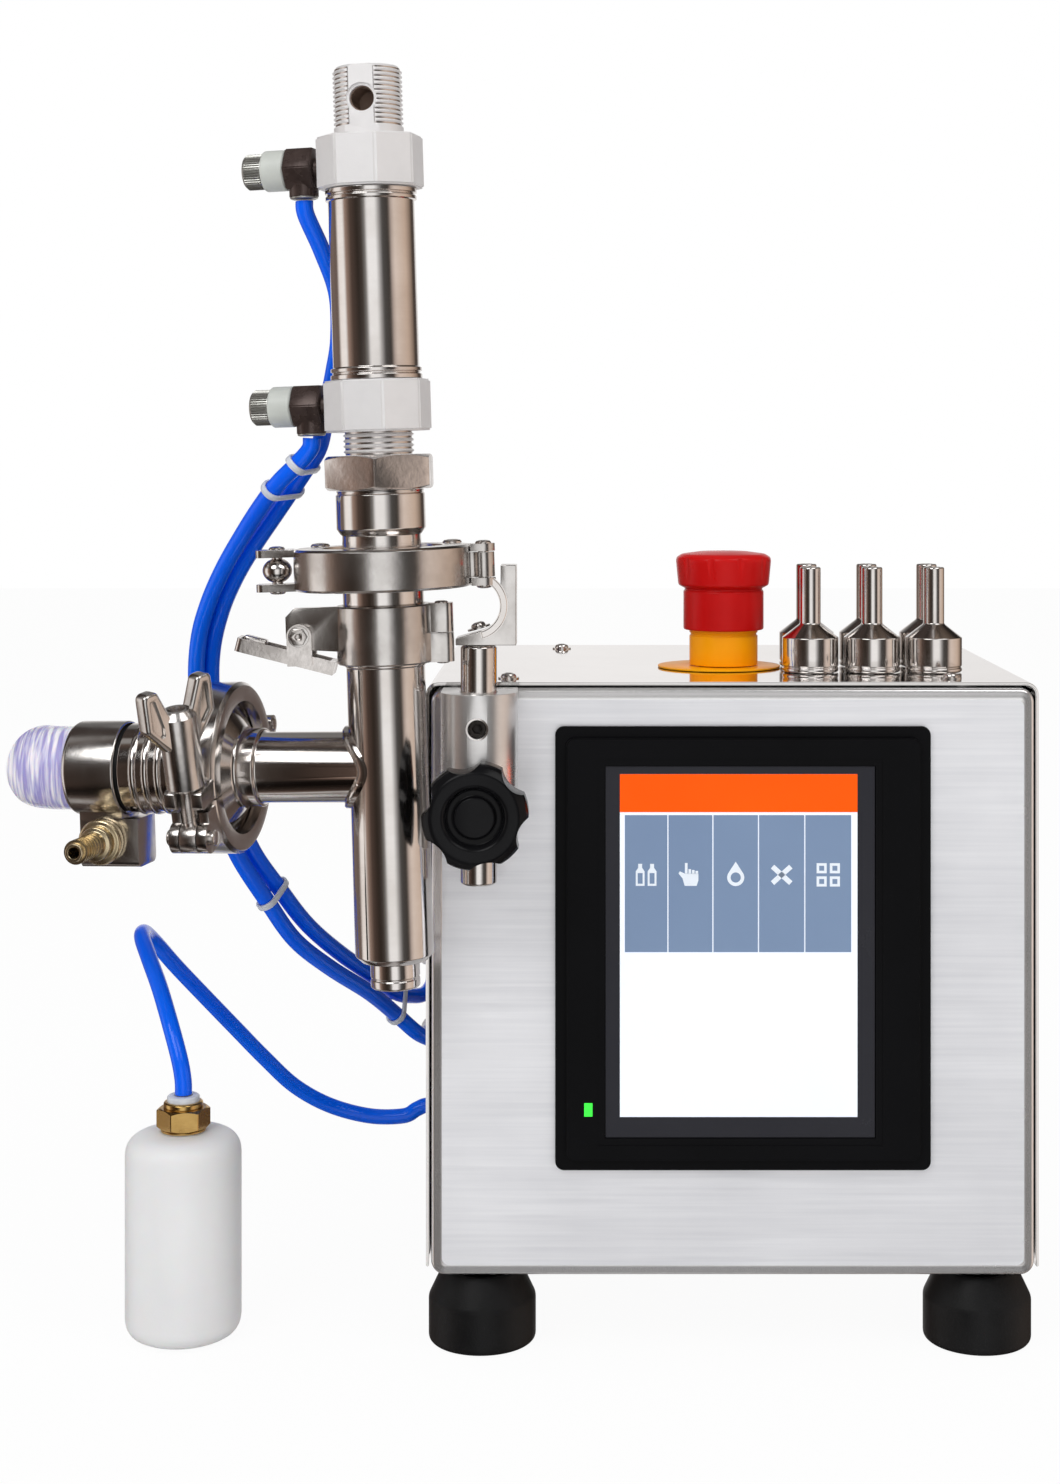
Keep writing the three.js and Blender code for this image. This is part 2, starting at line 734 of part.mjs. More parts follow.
function buildPostHolder() {
  const halfWidth = holderWidth / 2;
  const middleX = (holderLeft + holderRight) / 2;
  const outline = new THREE.Shape();
  outline.moveTo(holderRight, -gap);
  outline.lineTo(holderLeft, -gap);
  outline.lineTo(holderLeft, holderFront + halfWidth);
  outline.absarc(middleX, holderFront + halfWidth, halfWidth, Math.PI, 2 * Math.PI);
  const postHole = rod(postRadius + runningGap, holderBottom - overrun, holderTop + overrun)
    .translate(postX, postY, 0);
  const studHole = facingFront(rod(studRadius + runningGap, 0, -holderFront + postY + overrun + postRadius,
    smallSides)).translate(postX, postY, knobZ);
  const screwHole = facingFront(rod(setScrewRadius, 0, setScrewDepth + overrun, smallSides))
    .translate(postX, holderFront + setScrewDepth, setScrewZ);
  piece(machine, 'post_holder', cut(
    prism(outline, holderBottom, holderTop), postHole, studHole, screwHole), polishedSteel);
}

function buildClampKnob() {
  const depth = knobBack - knobFront;
  const scoops = Array.from({ length: knobLobes }, (_, i) => (
    rod(knobScoopRadius, -overrun, depth + overrun, smallSides)
      .translate(knobRadius + knobScoopRadius - knobScoopDepth, 0, 0)
      .rotateZ((2 * Math.PI * i) / knobLobes + knobTilt)));
  const studLength = postY - postRadius - knobBack - gap;
  const body = turned([
    [0, -studLength], [studRadius, -studLength], [studRadius, 0], [knobNeckRadius, 0],
    [knobRadius, depth / 4], [knobRadius, depth - knobDishDepth], [knobWaistRadius, depth],
    [knobDishRadius, depth], [knobDishRadius - knobDishDepth / 4, depth - knobDishDepth],
    [knobHubRadius, depth - knobDishDepth], [knobHubRadius, depth - knobDishDepth + knobHubRise],
    [0, depth - knobDishDepth + knobHubRise],
  ], knobSides);
  const knob = geometryOf(cut(body, ...scoops));
  piece(machine, 'clamp_knob', facingFront(knob).translate(postX, knobBack, knobZ), blackPlastic);
}

function buildBracket() {
  piece(machine, 'post', rod(postRadius, postBottom, postTop).translate(postX, postY, 0), polishedSteel);
  const foot = postTop + gap;
  const plateLeft = bracketRight - bracketPlate;
  const archX = bracketArchX;
  const archTop = bracketTop - bracketHookDrop;
  const startAngle = Math.asin((archTop - bracketArchZ) / bracketArchRadius);
  const endAngle = -Math.asin((bracketArchZ - foot - bracketFootHeight) / bracketArchRadius);
  const outline = new THREE.Shape();
  outline.moveTo(bracketFootLeft, foot);
  outline.lineTo(bracketRight, foot);
  outline.lineTo(bracketRight, bracketTop);
  outline.lineTo(plateLeft, bracketTop);
  outline.lineTo(plateLeft, archTop);
  outline.absarc(archX, bracketArchZ, bracketArchRadius, startAngle, endAngle, true);
  outline.lineTo(bracketFootLeft, foot + bracketFootHeight / 2);
  const plate = new THREE.ExtrudeGeometry(outline, {
    depth: bracketDepth, bevelEnabled: false, curveSegments: smallSides / 2,
  });
  const bracket = facingFront(plate).translate(0, postY + bracketDepth / 2, 0);
  piece(machine, 'bracket', bracket, steel);
}

const column = new THREE.Group();
column.position.set(columnX, columnY, columnZ);
column.rotation.y = -columnLean;
machine.add(column);

// Distance of a clamped flange's face from the middle of its seal
const flangeFace = sealThickness / 2 + gap;

// The caps' ports, and the flat that each sits on, point the same way as the branch pipe
function octagon(z0, z1) {
  return prism(polygon(octagonSides, capAcrossFlats), z0, z1).rotateZ(-branchYaw);
}

function buildCylinder() {
  const rodHole = (z0, z1) => rod(rodRadius + runningGap, z0, z1, smallSides);
  const bonnet = turned([
    [0, flangeFace], [flangeRadius, flangeFace], [flangeRadius, flangeFace + flangeThickness],
    [bonnetNeckRadius, flangeFace + flangeThickness], [bonnetNeckRadius, bonnetNeckTop],
    [bonnetRadius, bonnetConeTop], [bonnetRadius, bonnetTop], [0, bonnetTop],
  ]);
  const nutBore = rod(threadRadius + gap, threadBottom, bonnetTop + overrun);
  piece(column, 'valve_bonnet', cut(bonnet, nutBore, rodHole(0, bonnetTop)), polishedSteel);
  piece(column, 'cylinder_nut', cut(
    prism(polygon(hexSides, nutAcrossFlats), nutBottom, nutTop).rotateZ(Math.PI / hexSides),
    rod(threadRadius + gap, nutBottom - overrun, nutTop + overrun)), steel);

  const portDepth = capAcrossFlats / 2 - barrelBore + rodRadius;
  const port = (height) => facingLeft(rod(controlNeckRadius + gap, capAcrossFlats / 2 - portDepth,
    capAcrossFlats / 2 + overrun, smallSides)).rotateZ(-branchYaw).translate(0, 0, height);
  piece(column, 'cylinder_lower_cap', cut(
    join(rod(threadRadius, threadBottom + gap, lowerCapBottom + overrun),
      octagon(lowerCapBottom, lowerCapTop)),
    rodHole(0, lowerCapTop + overrun), port(lowerControlHeight)), aluminium);

  const rimTop = upperCapBottom - gap;
  const rimBottom = lowerCapTop + gap;
  piece(column, 'cylinder_barrel', turned([
    [barrelBore, rimBottom], [barrelRimRadius, rimBottom],
    [barrelRimRadius, rimBottom + barrelRimHeight], [barrelRadius, rimBottom + barrelRimHeight],
    [barrelRadius, rimTop - barrelRimHeight], [barrelRimRadius, rimTop - barrelRimHeight],
    [barrelRimRadius, rimTop], [barrelBore, rimTop], [barrelBore, rimBottom],
  ]), polishedSteel);

  const flatCut = (side) => block(
    -bossRadius - overrun, bossRadius + overrun, Math.min(side * bossFlat, side * (bossRadius + overrun)),
    Math.max(side * bossFlat, side * (bossRadius + overrun)), upperCapTop, bossTop + overrun)
    .rotateZ(-bossTurn);
  const crossHole = facingFront(rod(bossHoleRadius, -bossHoleBack, bossRadius, smallSides))
    .rotateZ(-bossTurn).translate(0, 0, bossHoleHeight);
  piece(column, 'cylinder_upper_cap', cut(
    join(octagon(upperCapBottom, upperCapTop), rod(bossRadius, upperCapTop - overrun, bossTop)),
    flatCut(-1), flatCut(1), crossHole, port(upperControlHeight)), aluminium);
}

function buildPlunger() {
  const rodTop = pistonBottom + pistonSocket;
  const seat = gap - shoulderDepth + shoulderWall;
  const socket = rod(rodRadius + gap, pistonBottom - overrun, rodTop + gap, smallSides);
  piece(column, 'piston', cut(
    rod(barrelBore - pistonGap, pistonBottom, pistonBottom + pistonThickness), socket), aluminium);
  piece(column, 'valve_rod', turned([
    [0, seat - plugNoseHeight], [plugNoseRadius, seat - plugNoseHeight], [plugNoseRadius, seat],
    [plugRadius, seat], [plugRadius, seat + plugHeight], [rodRadius, seat + plugHeight],
    [rodRadius, rodTop], [0, rodTop],
  ], smallSides), polishedSteel);
}

function buildSpeedControls() {
  const collarStart = controlHexEnd + gap;
  for (const [place, height] of [['upper', upperControlHeight], ['lower', lowerControlHeight]]) {
    const neck = facingLeft(rod(controlNeckRadius, capAcrossFlats / 2 - overrun, controlHexStart + overrun,
      smallSides));
    const hex = facingLeft(prism(polygon(hexSides, 2 * controlHexRadius * Math.cos(Math.PI / hexSides)),
      controlHexStart, controlHexEnd));
    const elbow = rod(elbowRadius, -elbowDrop, 0, smallSides).translate(-elbowOffset, 0, 0);
    const body = geometryOf(join(neck, hex, elbow)).rotateZ(-branchYaw).translate(0, 0, height);
    piece(column, `${place}_speed_control`, body, darkBronze);
    const collar = facingLeft(turned([
      [0, collarStart], [controlCollarRadius, collarStart], [controlCollarRadius, controlCollarEnd],
      [controlKnobRadius, controlCollarEnd], [controlKnobRadius, controlKnobEnd], [0, controlKnobEnd],
    ], smallSides)).rotateZ(-branchYaw).translate(0, 0, height);
    piece(column, `${place}_speed_knob`, collar, greyPlastic);
  }
}

// Where the branch pipe runs: its own Z is the way along it, its X is up
const branchMatrix = new THREE.Matrix4().makeRotationZ(-branchYaw)
  .multiply(new THREE.Matrix4().makeRotationY(-Math.PI / 2))
  .setPosition(0, 0, branchHeight);
const branch = new THREE.Group();
branch.applyMatrix4(branchMatrix);
column.add(branch);

function buildValveBody() {
  const stack = turned([
    [0, -outletDepth], [outletRadius, -outletDepth], [outletRadius, -shoulderDepth],
    [tubeRadius - shoulderRounding, -shoulderDepth], [tubeRadius, -shoulderDepth + shoulderRounding],
    [tubeRadius, -neckLength], [neckRadius, -neckLength],
    [neckRadius, -flangeFace - flangeThickness], [flangeRadius, -flangeFace - flangeThickness],
    [flangeRadius, -flangeFace], [0, -flangeFace],
  ]);
  const coneStart = branchJoint - flangeFace - flangeThickness - branchConeLength;
  const pipe = turned([
    [0, 0], [branchRadius, 0], [branchRadius, branchCollarStart],
    [branchCollarRadius, branchCollarStart], [branchCollarRadius, coneStart],
    [flangeRadius - branchConeLength, coneStart + branchConeLength],
    [flangeRadius, coneStart + branchConeLength], [flangeRadius, branchJoint - flangeFace],
    [0, branchJoint - flangeFace],
  ]).applyMatrix4(branchMatrix);
  const pipeBore = rod(branchBore, 0, branchJoint + overrun).applyMatrix4(branchMatrix);
  const body = cut(
    join(stack, pipe), rod(tubeBore, shoulderWall - shoulderDepth, overrun),
    rod(outletBore, -outletDepth - overrun, 0), pipeBore);
  piece(column, 'valve_body', body, polishedSteel);

  piece(column, 'valve_seal', ring(
    flangeRadius, sealBore, -sealThickness / 2, sealThickness / 2), whiteSeal);
  piece(branch, 'branch_seal', ring(
    flangeRadius, branchBore, branchJoint - sealThickness / 2, branchJoint + sealThickness / 2),
  whiteSeal);
}

// Ring of a pipe clamp with the groove that holds two flanges
function clampRing(outer, bore, height) {
  const half = height / 2;
  const groove = clampGrooveHeight / 2;
  return turned([
    [bore, -half], [outer, -half], [outer, half], [bore, half], [bore, groove],
    [clampGrooveRadius, groove], [clampGrooveRadius, -groove], [bore, -groove], [bore, -half],
  ]);
}

function buildValveClamp() {
  const half = clampHeight / 2;
  const split = splitGap / 2;
  const plateFrom = half - forkThickness;
  const reach = clampRadius + overrun;
  const levels = [[plateFrom, half], [-half, -plateFrom]];
  const ringShape = clampRing(clampRadius, clampBore, clampHeight);
  const frontRing = common(ringShape, block(-reach, reach, -reach, -split, -half, half));
  const rearRing = common(ringShape, block(-reach, reach, split, reach, -half, half));
  const sides = forkWidth / 2;
  const forks = levels.map(([z0, z1]) => join(
    block(-forkReach, -forkRoot, -sides, -split, z0, z1),
    block(-forkReach, -clampRadius - splitGap, -sides, sides, z0, z1)));
  const rollerHalf = plateFrom - gap;
  const roller = rod(hingeRollerRadius, -rollerHalf, rollerHalf, smallSides)
    .translate(hingePinOffset, 0, 0);
  const rollerWeb = block(
    forkRoot - overrun, hingePinOffset, -hingeRollerRadius, -split, -rollerHalf, rollerHalf);
  piece(column, 'valve_clamp_front', join(frontRing, ...forks, roller, rollerWeb), polishedSteel);

  const lobes = levels.map(([z0, z1]) => join(
    rod(hingeLobeRadius, z0, z1, smallSides).translate(hingePinOffset, 0, 0),
    block(forkRoot, hingePinOffset, split, hingeLobeRadius, z0, z1)));
  piece(column, 'valve_clamp_rear', join(rearRing, ...lobes), polishedSteel);
  const flattening = forkBallWidth / forkBallRadius;
  const ball = new THREE.SphereGeometry(forkBallRadius, smallSides, smallSides / 2)
    .rotateX(Math.PI / 2).scale(flattening, flattening, 1).translate(-forkPinOffset, 0, 0);
  piece(column, 'valve_clamp_ball', ball, steel);
}

// Plate between a lobe round the pin and the band, as high as the band
function latchPlate() {
  const shape = new THREE.Shape();
  shape.moveTo(-latchPlateRoot, bandTop);
  shape.lineTo(latchCorner - latchPinOffset - latchLobeRadius, bandTop);
  shape.lineTo(-latchPinOffset - latchLobeRadius, bandTop - latchCorner);
  shape.absarc(-latchPinOffset, latchPinHeight, latchLobeRadius, Math.PI, 1.5 * Math.PI);
  shape.lineTo(-latchPlateRoot, latchPlateBottom);
  return facingFront(prism(shape, -latchPlateFront - latchPlateThickness, -latchPlateFront));
}

function buildBandClamp() {
  const bore = neckRadius + gap;
  const middle = (bandTop + bandBottom) / 2;
  const split = splitGap / 2;
  const reach = bandRadius + overrun;
  const band = ring(bandRadius, bore, bandBottom, bandTop);
  const knuckle = (z0, z1, y0, y1) => join(
    rod(knuckleRadius, z0, z1, smallSides).translate(knuckleOffset, 0, 0),
    block(bore + overrun / 2, knuckleOffset, y0, y1, z0, z1));
  const front = join(
    common(band, block(-reach, reach, -reach, -split, bandBottom, bandTop)),
    knuckle(bandBottom, middle - gap / 2, -knuckleRadius, -split), latchPlate());
  const rear = join(
    common(band, block(-reach, reach, split, reach, bandBottom, bandTop)),
    knuckle(middle + gap / 2, bandTop, split, knuckleRadius));
  const clearRound = (z0, z1) => rod(knuckleRadius + gap, z0, z1, smallSides)
    .translate(knuckleOffset, 0, 0);
  piece(column, 'band_clamp_front', cut(front, clearRound(middle - gap / 2, bandTop + overrun)),
    polishedSteel);
  piece(column, 'band_clamp_rear', cut(rear, clearRound(bandBottom - overrun, middle + gap / 2)),
    polishedSteel);

  const bar = block(
    -leverLength, 0, -leverHalfWidth, leverHalfWidth, -leverThickness / 2, leverThickness / 2)
    .rotateY(leverTilt).translate(-leverNearOffset, 0, leverNearHeight);
  const ears = [-1, 1].map((side) => {
    const y0 = side * (leverHalfWidth + gap);
    const y1 = side * (leverHalfWidth + gap + leverEarThickness);
    const low = Math.min(y0, y1);
    const high = Math.max(y0, y1);
    const lobe = facingFront(rod(leverEarRadius, -high, -low, smallSides))
      .translate(-latchPinOffset, 0, latchPinHeight);
    const foot = block(
      -latchPinOffset - leverEarRadius, -latchPinOffset + leverEarRadius, low, high,
      leverNearHeight + leverThickness, latchPinHeight);
    const tie = block(
      -latchPinOffset - leverEarRadius, -latchPinOffset + leverEarRadius,
      Math.min(low, side * leverHalfWidth - overrun), Math.max(high, side * leverHalfWidth + overrun),
      leverNearHeight + overrun, leverNearHeight + leverThickness);
    return join(lobe, foot, tie);
  });
  piece(column, 'band_clamp_lever', join(bar, ...ears), steel);
}

function buildPipeClamp() {
  const clamp = new THREE.Group();
  clamp.position.set(0, 0, branchJoint);
  clamp.rotation.z = -pipeClampRoll;
  branch.add(clamp);
  const half = pipeClampHeight / 2;
  const split = splitGap / 2;
  const reach = pipeClampRadius + overrun;
  const ringShape = clampRing(pipeClampRadius, pipeClampBore, pipeClampHeight);
  const upperRing = common(ringShape, block(split, reach, -reach, reach, -half, half));
  const lowerRing = common(ringShape, block(-reach, -split, -reach, reach, -half, half));
  const lug = cut(
    block(split, lugHeight, -lugReach, -lugRoot, -lugWidth / 2, lugWidth / 2),
    block(0, lugHeight + overrun, -lugReach - overrun, boltRadius + gap - boltOffset,
      -lugSlot / 2, lugSlot / 2));
  const hinge = rod(rearHingeRadius, -half, half, smallSides)
    .translate(rearHingeRadius, rearHingeOffset, 0);
  const hingeWeb = block(split, rearHingeRadius, lugRoot, rearHingeOffset, -half, half);
  piece(clamp, 'pipe_clamp_upper', join(upperRing, lug, hinge, hingeWeb), polishedSteel);

  const knuckles = [[lugSlot / 2 + gap, lugWidth / 2], [-lugWidth / 2, -lugSlot / 2 - gap]]
    .map(([z0, z1]) => join(
      rod(boltEyeRadius, z0, z1, smallSides).translate(-boltPivotDrop, -boltOffset, 0),
      block(-boltPivotDrop - boltEyeRadius, -split - overrun, -boltOffset, overrun - lugRoot, z0, z1)));
  const pin = rod(pinRadius, -lugWidth / 2 - pinHead, lugWidth / 2 + pinHead, smallSides)
    .translate(-boltPivotDrop, -boltOffset, 0);
  piece(clamp, 'pipe_clamp_lower', join(lowerRing, ...knuckles, pin), polishedSteel);

  const along = new THREE.Group();
  along.position.set(0, -boltOffset, 0);
  along.rotation.y = Math.PI / 2;
  clamp.add(along);
  const eyeHalf = lugSlot / 2 - gap / 2;
  const eye = facingAcross(ring(boltEyeRadius, pinRadius + runningGap, -eyeHalf, eyeHalf, smallSides))
    .translate(0, 0, -boltPivotDrop);
  const shank = rod(boltRadius, boltEyeRadius - boltPivotDrop - overrun / 2, boltLength - boltPivotDrop,
    smallSides);
  piece(along, 'pipe_clamp_bolt', join(eye, shank), steel);

  const wingTop = lugHeight + gap + wingBarrelLength;
  const wingShape = new THREE.Shape([
    [boltRadius + overrun, wingTop - wingRoot], [wingBarrelRadius, wingTop - wingRoot],
    [wingReach, wingTop - wingRise / 2], [wingReach, wingTop + wingRise],
    [wingReach - wingThickness, wingTop + wingRise], [boltRadius + overrun, wingTop],
  ].map(([x, z]) => new THREE.Vector2(x, z)));
  const wings = [0, Math.PI].map((turn) => (
    facingFront(prism(wingShape, -wingThickness / 2, wingThickness / 2)).rotateZ(turn + wingTurn)));
  const barrel = rod(wingBarrelRadius, lugHeight + gap, wingTop, smallSides);
  const thread = rod(boltRadius + runningGap, 0, wingTop + wingRise, smallSides);
  piece(along, 'pipe_clamp_wing_nut', cut(join(barrel, ...wings), thread), polishedSteel);
}

// Turns a shape built along Z so that it runs along X
function facingAcross(geometry) {
  return geometry.rotateY(Math.PI / 2);
}

function buildHoseEnd() {
  const start = branchJoint + flangeFace;
  const ribs = Array.from({ length: ferruleRibCount }, (_, i) => {
    const z = ferruleRibStart + overrun + i * ferruleRibPitch;
    return [
      [ferruleRadius, z], [ferruleRibRadius, z + ferruleRibPitch / 4],
      [ferruleRibRadius, z + ferruleRibPitch / 2], [ferruleRadius, z + 3 * ferruleRibPitch / 4],
    ];
  }).flat();
  piece(branch, 'hose_ferrule', turned([
    [branchBore, start], [flangeRadius, start], [flangeRadius, start + flangeThickness],
    [flangeRadius - branchConeLength, start + flangeThickness], [ferruleRadius, ferruleRibStart],
    ...ribs, [ferruleRadius, ferruleEnd], [branchBore, ferruleEnd], [branchBore, start],
  ]), polishedSteel);

  const collar = turned([
    [0, ferruleEnd + gap], [collarRadius, ferruleEnd + gap], [collarRadius, collarEnd - collarRoundoff],
    [collarRadius - collarRoundoff, collarEnd], [0, collarEnd],
  ]);
  const lugRoot = block(
    -drainStep - drainInset, -hoseBore, -drainHalfDepth, drainHalfDepth, ferruleEnd + gap, drainEnd);
  const lugFoot = block(
    -drainDrop, -drainStep, -drainHalfDepth, drainHalfDepth, drainStart, drainEnd);
  const drainZ = (ferruleEnd + drainEnd) / 2;
  const drainBore = facingFront(rod(drainPortBore, 0, drainHalfDepth + overrun, smallSides))
    .translate(-drainPortDrop, 0, drainZ);
  const hoseSeat = rod(hoseBore, ferruleEnd, collarEnd + overrun);
  piece(branch, 'hose_collar', cut(
    join(collar, lugRoot, lugFoot), hoseSeat, drainBore), polishedSteel);

  const flangeEnd = gap + barbFlangeThickness;
  const stepEnd = flangeEnd + barbStepLength;
  const barb = facingFront(turned([
    [barbBore, gap], [barbFlangeRadius, gap], [barbFlangeRadius, flangeEnd],
    [barbStepRadius, flangeEnd], [barbStepRadius, stepEnd], [barbRadius, stepEnd],
    [barbTipRadius, barbLength], [barbBore, barbLength], [barbBore, gap],
  ], smallSides)).translate(-drainPortDrop, -drainHalfDepth, drainZ);
  piece(branch, 'drain_barb', barb, brass);

  piece(branch, 'product_hose', hoseStub(), clearHose);
}

// A short bent length of hose: straight out of the collar, then round to the rear
function hoseStub() {
  const path = new THREE.CurvePath();
  const start = new THREE.Vector3(0, 0, collarEnd + gap);
  const bendStart = new THREE.Vector3(0, 0, collarEnd + gap + hoseStraight);
  path.add(new THREE.LineCurve3(start, bendStart));
  const steps = 5;
  let last = bendStart;
  for (let i = 1; i <= steps; i += 1) {
    const angle = (hoseBend * i) / steps;
    const next = new THREE.Vector3(
      0, hoseBendRadius * (1 - Math.cos(angle)), bendStart.z + hoseBendRadius * Math.sin(angle));
    path.add(new THREE.LineCurve3(last, next));
    last = next;
  }
  const section = new THREE.Shape().absarc(0, 0, hoseRadius, 0, 2 * Math.PI);
  section.holes.push(new THREE.Path().absarc(0, 0, hoseBore, 0, 2 * Math.PI, true));
  return new THREE.ExtrudeGeometry(section, {
    steps: steps + 1, curveSegments: smallSides / 2, extrudePath: path,
  });
}

function buildBottle() {
  const corner = (z, from) => Array.from({ length: 4 }, (_, i) => {
    const angle = from + (Math.PI / 2) * (i / 3);
    return [
      bottleRadius - bottleRounding + bottleRounding * Math.cos(angle),
      z + bottleRounding * Math.sin(angle),
    ];
  });
  piece(machine, 'exhaust_bottle', turned([
    [0, 0], ...corner(bottleRounding, -Math.PI / 2), ...corner(bottleHeight - bottleRounding, 0),
    [bottleNeckRadius, bottleHeight], [bottleNeckRadius, bottleHeight + bottleNeckRise],
    [0, bottleHeight + bottleNeckRise],
  ]).translate(bottleX, bottleY, 0), whitePlastic);
  const base = bottleHeight + bottleNeckRise + gap;
  piece(machine, 'bottle_fitting', join(
    prism(polygon(hexSides, fittingHex), base, base + fittingHexHeight),
    rod(fittingRingRadius, base + fittingHexHeight - overrun,
      base + fittingHexHeight + fittingRingHeight, smallSides),
  ).translate([bottleX, bottleY, 0]), brass);
}

// Routes of the free air tubes, from the machine's end to the far end
const lowerTubeRoute = [
  [-123, -18.4, 419.5], [-123.8, -18.4, 414.5], [-130, -17.5, 407.5], [-138.5, -13.5, 399.5],
  [-147, -6, 389.5], [-156.5, 3, 376.5], [-168, 15, 359], [-177, 26, 341.5],
  [-182.5, 34, 324.5], [-184.5, 40, 303], [-182, 43, 276.5], [-176, 46, 247.5],
  [-167, 50, 221.5], [-153.5, 58, 197], [-142, 72, 175.5], [-127, 90, 158],
  [-109.5, 112, 140.5], [-97.5, 132, 124.5], [-88, 139, 114], [-82.5, 146, 109],
  [-81.5, 150, 108], [-81.5, 154.6, 108],
];
const upperTubeRoute = [
  [-126.3, -18.4, 525.8], [-125.5, -18, 519.5], [-119, -13, 504], [-113, -6.5, 485.5],
  [-112.5, -3, 465], [-115, -1, 449.5], [-118.5, 0, 432.5], [-121.5, -1, 416],
  [-128, -2, 405], [-135.3, 0, 394.5], [-143, 5, 384], [-153.5, 14, 370],
  [-163.5, 24, 355], [-171.5, 33, 339], [-177, 41, 320.5], [-178.5, 47, 300],
  [-175.5, 50, 274.5], [-170, 53, 248], [-161, 58, 222.5], [-149, 66, 202],
  [-137, 80, 181.5], [-122.5, 99, 163], [-107, 121, 146], [-98, 139, 134],
  [-91, 156, 128.5], [-85.5, 167, 127], [-82, 175.5, 130], [-81.5, 178, 136],
  [-81.5, 178, 140.6],
];
const bottleTubeRoute = [
  [-188.8, 29, 112.4], [-189, 29, 119], [-191, 31, 128], [-196.5, 39, 141.5],
  [-204.5, 54, 156], [-213, 71, 167], [-219.5, 88, 173], [-221.5, 104, 172.5],
  [-219, 120, 164], [-211, 135, 148.5], [-199, 147, 131], [-184, 158, 111],
  [-170, 167, 93], [-155, 175, 76], [-137, 181, 64], [-116, 184, 57.5],
  [-98, 184, 57.5], [-91, 184, 61], [-86.5, 184, 63], [-81.9, 184, 63],
];

function buildTube(name, route) {
  const path = new THREE.CatmullRomCurve3(route.map(([x, y, z]) => new THREE.Vector3(x, y, z)));
  const section = new THREE.Shape().absarc(0, 0, airTubeRadius, 0, 2 * Math.PI);
  const steps = Math.min(80, Math.round(path.getLength() / (5 * airTubeRadius)));
  piece(machine, name, new THREE.ExtrudeGeometry(section, {
    steps, curveSegments: tubeSides / 2, extrudePath: path,
  }), blueTube);
}

buildCabinet();
buildFeet();
buildPanel();
buildEmergencyStop();
buildNozzles();
buildServices();
buildPostHolder();
buildClampKnob();
buildBracket();
buildCylinder();
buildPlunger();
buildSpeedControls();
buildValveBody();
buildValveClamp();
buildBandClamp();
buildPipeClamp();
buildHoseEnd();
buildBottle();
buildTube('lower_air_tube', lowerTubeRoute);
buildTube('upper_air_tube', upperTubeRoute);
buildTube('bottle_air_tube', bottleTubeRoute);

const fillingMachine = new THREE.Group();
fillingMachine.add(machine);

export default fillingMachine;
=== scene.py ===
import json
import math

import bmesh
import bpy
from mathutils import Matrix, Vector

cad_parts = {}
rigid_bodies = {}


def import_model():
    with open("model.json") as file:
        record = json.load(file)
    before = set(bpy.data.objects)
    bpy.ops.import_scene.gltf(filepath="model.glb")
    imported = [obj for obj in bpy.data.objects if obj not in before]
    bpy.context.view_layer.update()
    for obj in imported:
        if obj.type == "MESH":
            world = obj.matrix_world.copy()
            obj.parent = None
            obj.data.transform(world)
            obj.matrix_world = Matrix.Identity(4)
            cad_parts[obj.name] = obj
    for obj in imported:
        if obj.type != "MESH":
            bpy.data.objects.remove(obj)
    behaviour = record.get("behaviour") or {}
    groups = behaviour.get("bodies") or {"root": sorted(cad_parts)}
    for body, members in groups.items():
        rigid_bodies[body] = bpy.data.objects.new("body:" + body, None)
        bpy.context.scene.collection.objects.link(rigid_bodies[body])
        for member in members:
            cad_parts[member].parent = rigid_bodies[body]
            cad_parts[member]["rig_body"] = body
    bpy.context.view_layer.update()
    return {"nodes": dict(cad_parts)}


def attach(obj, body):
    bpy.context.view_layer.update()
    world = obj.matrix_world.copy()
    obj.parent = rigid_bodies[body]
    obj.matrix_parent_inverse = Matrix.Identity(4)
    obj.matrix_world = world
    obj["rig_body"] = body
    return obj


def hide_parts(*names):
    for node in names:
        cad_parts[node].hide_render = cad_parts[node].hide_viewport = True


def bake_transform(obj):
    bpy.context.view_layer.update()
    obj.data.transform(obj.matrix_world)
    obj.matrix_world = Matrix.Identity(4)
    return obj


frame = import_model()
nodes = frame["nodes"]
print("frame loaded")

mm = 0.001
# The zero that the machine's own millimetres count from, in the row frame
machineZero = Vector((28.84, -68.97, 0)) * mm


def place(x, y, z):
    return Vector((x, y, z)) * mm + machineZero


# Camera: level, with the shift that the photograph's framing needs
cameraSettings = {"place": (0, -1050, 412), "lens": 55.8, "shift": (-0.0377, -0.1934)}

# Studio: what polished steel mirrors, by degrees left (-) and right (+) of the camera
mirrorBands = [
    (-180, (0.92, 0.90, 0.89)), (-158, (0.80, 0.78, 0.77)), (-150, (0.16, 0.12, 0.11)),
    (-128, (0.20, 0.15, 0.13)), (-108, (0.16, 0.115, 0.095)),
    (-98, (1.0, 0.94, 0.90)), (-80, (1.0, 0.97, 0.95)), (-72, (0.36, 0.25, 0.20)),
    (-56, (0.09, 0.06, 0.048)), (-36, (0.03, 0.021, 0.016)), (-24, (0.06, 0.047, 0.04)),
    (-15, (0.22, 0.21, 0.20)), (-8, (1.0, 1.0, 1.0)), (13, (1.0, 1.0, 1.0)),
    (22, (0.46, 0.45, 0.45)), (31, (0.085, 0.08, 0.077)), (49, (0.05, 0.042, 0.037)),
    (57, (0.55, 0.46, 0.41)), (66, (0.80, 0.68, 0.60)), (102, (0.66, 0.51, 0.41)),
    (124, (0.30, 0.22, 0.17)), (136, (0.06, 0.045, 0.038)), (150, (0.10, 0.08, 0.07)),
    (158, (0.80, 0.78, 0.77)), (180, (0.92, 0.90, 0.89)),
]
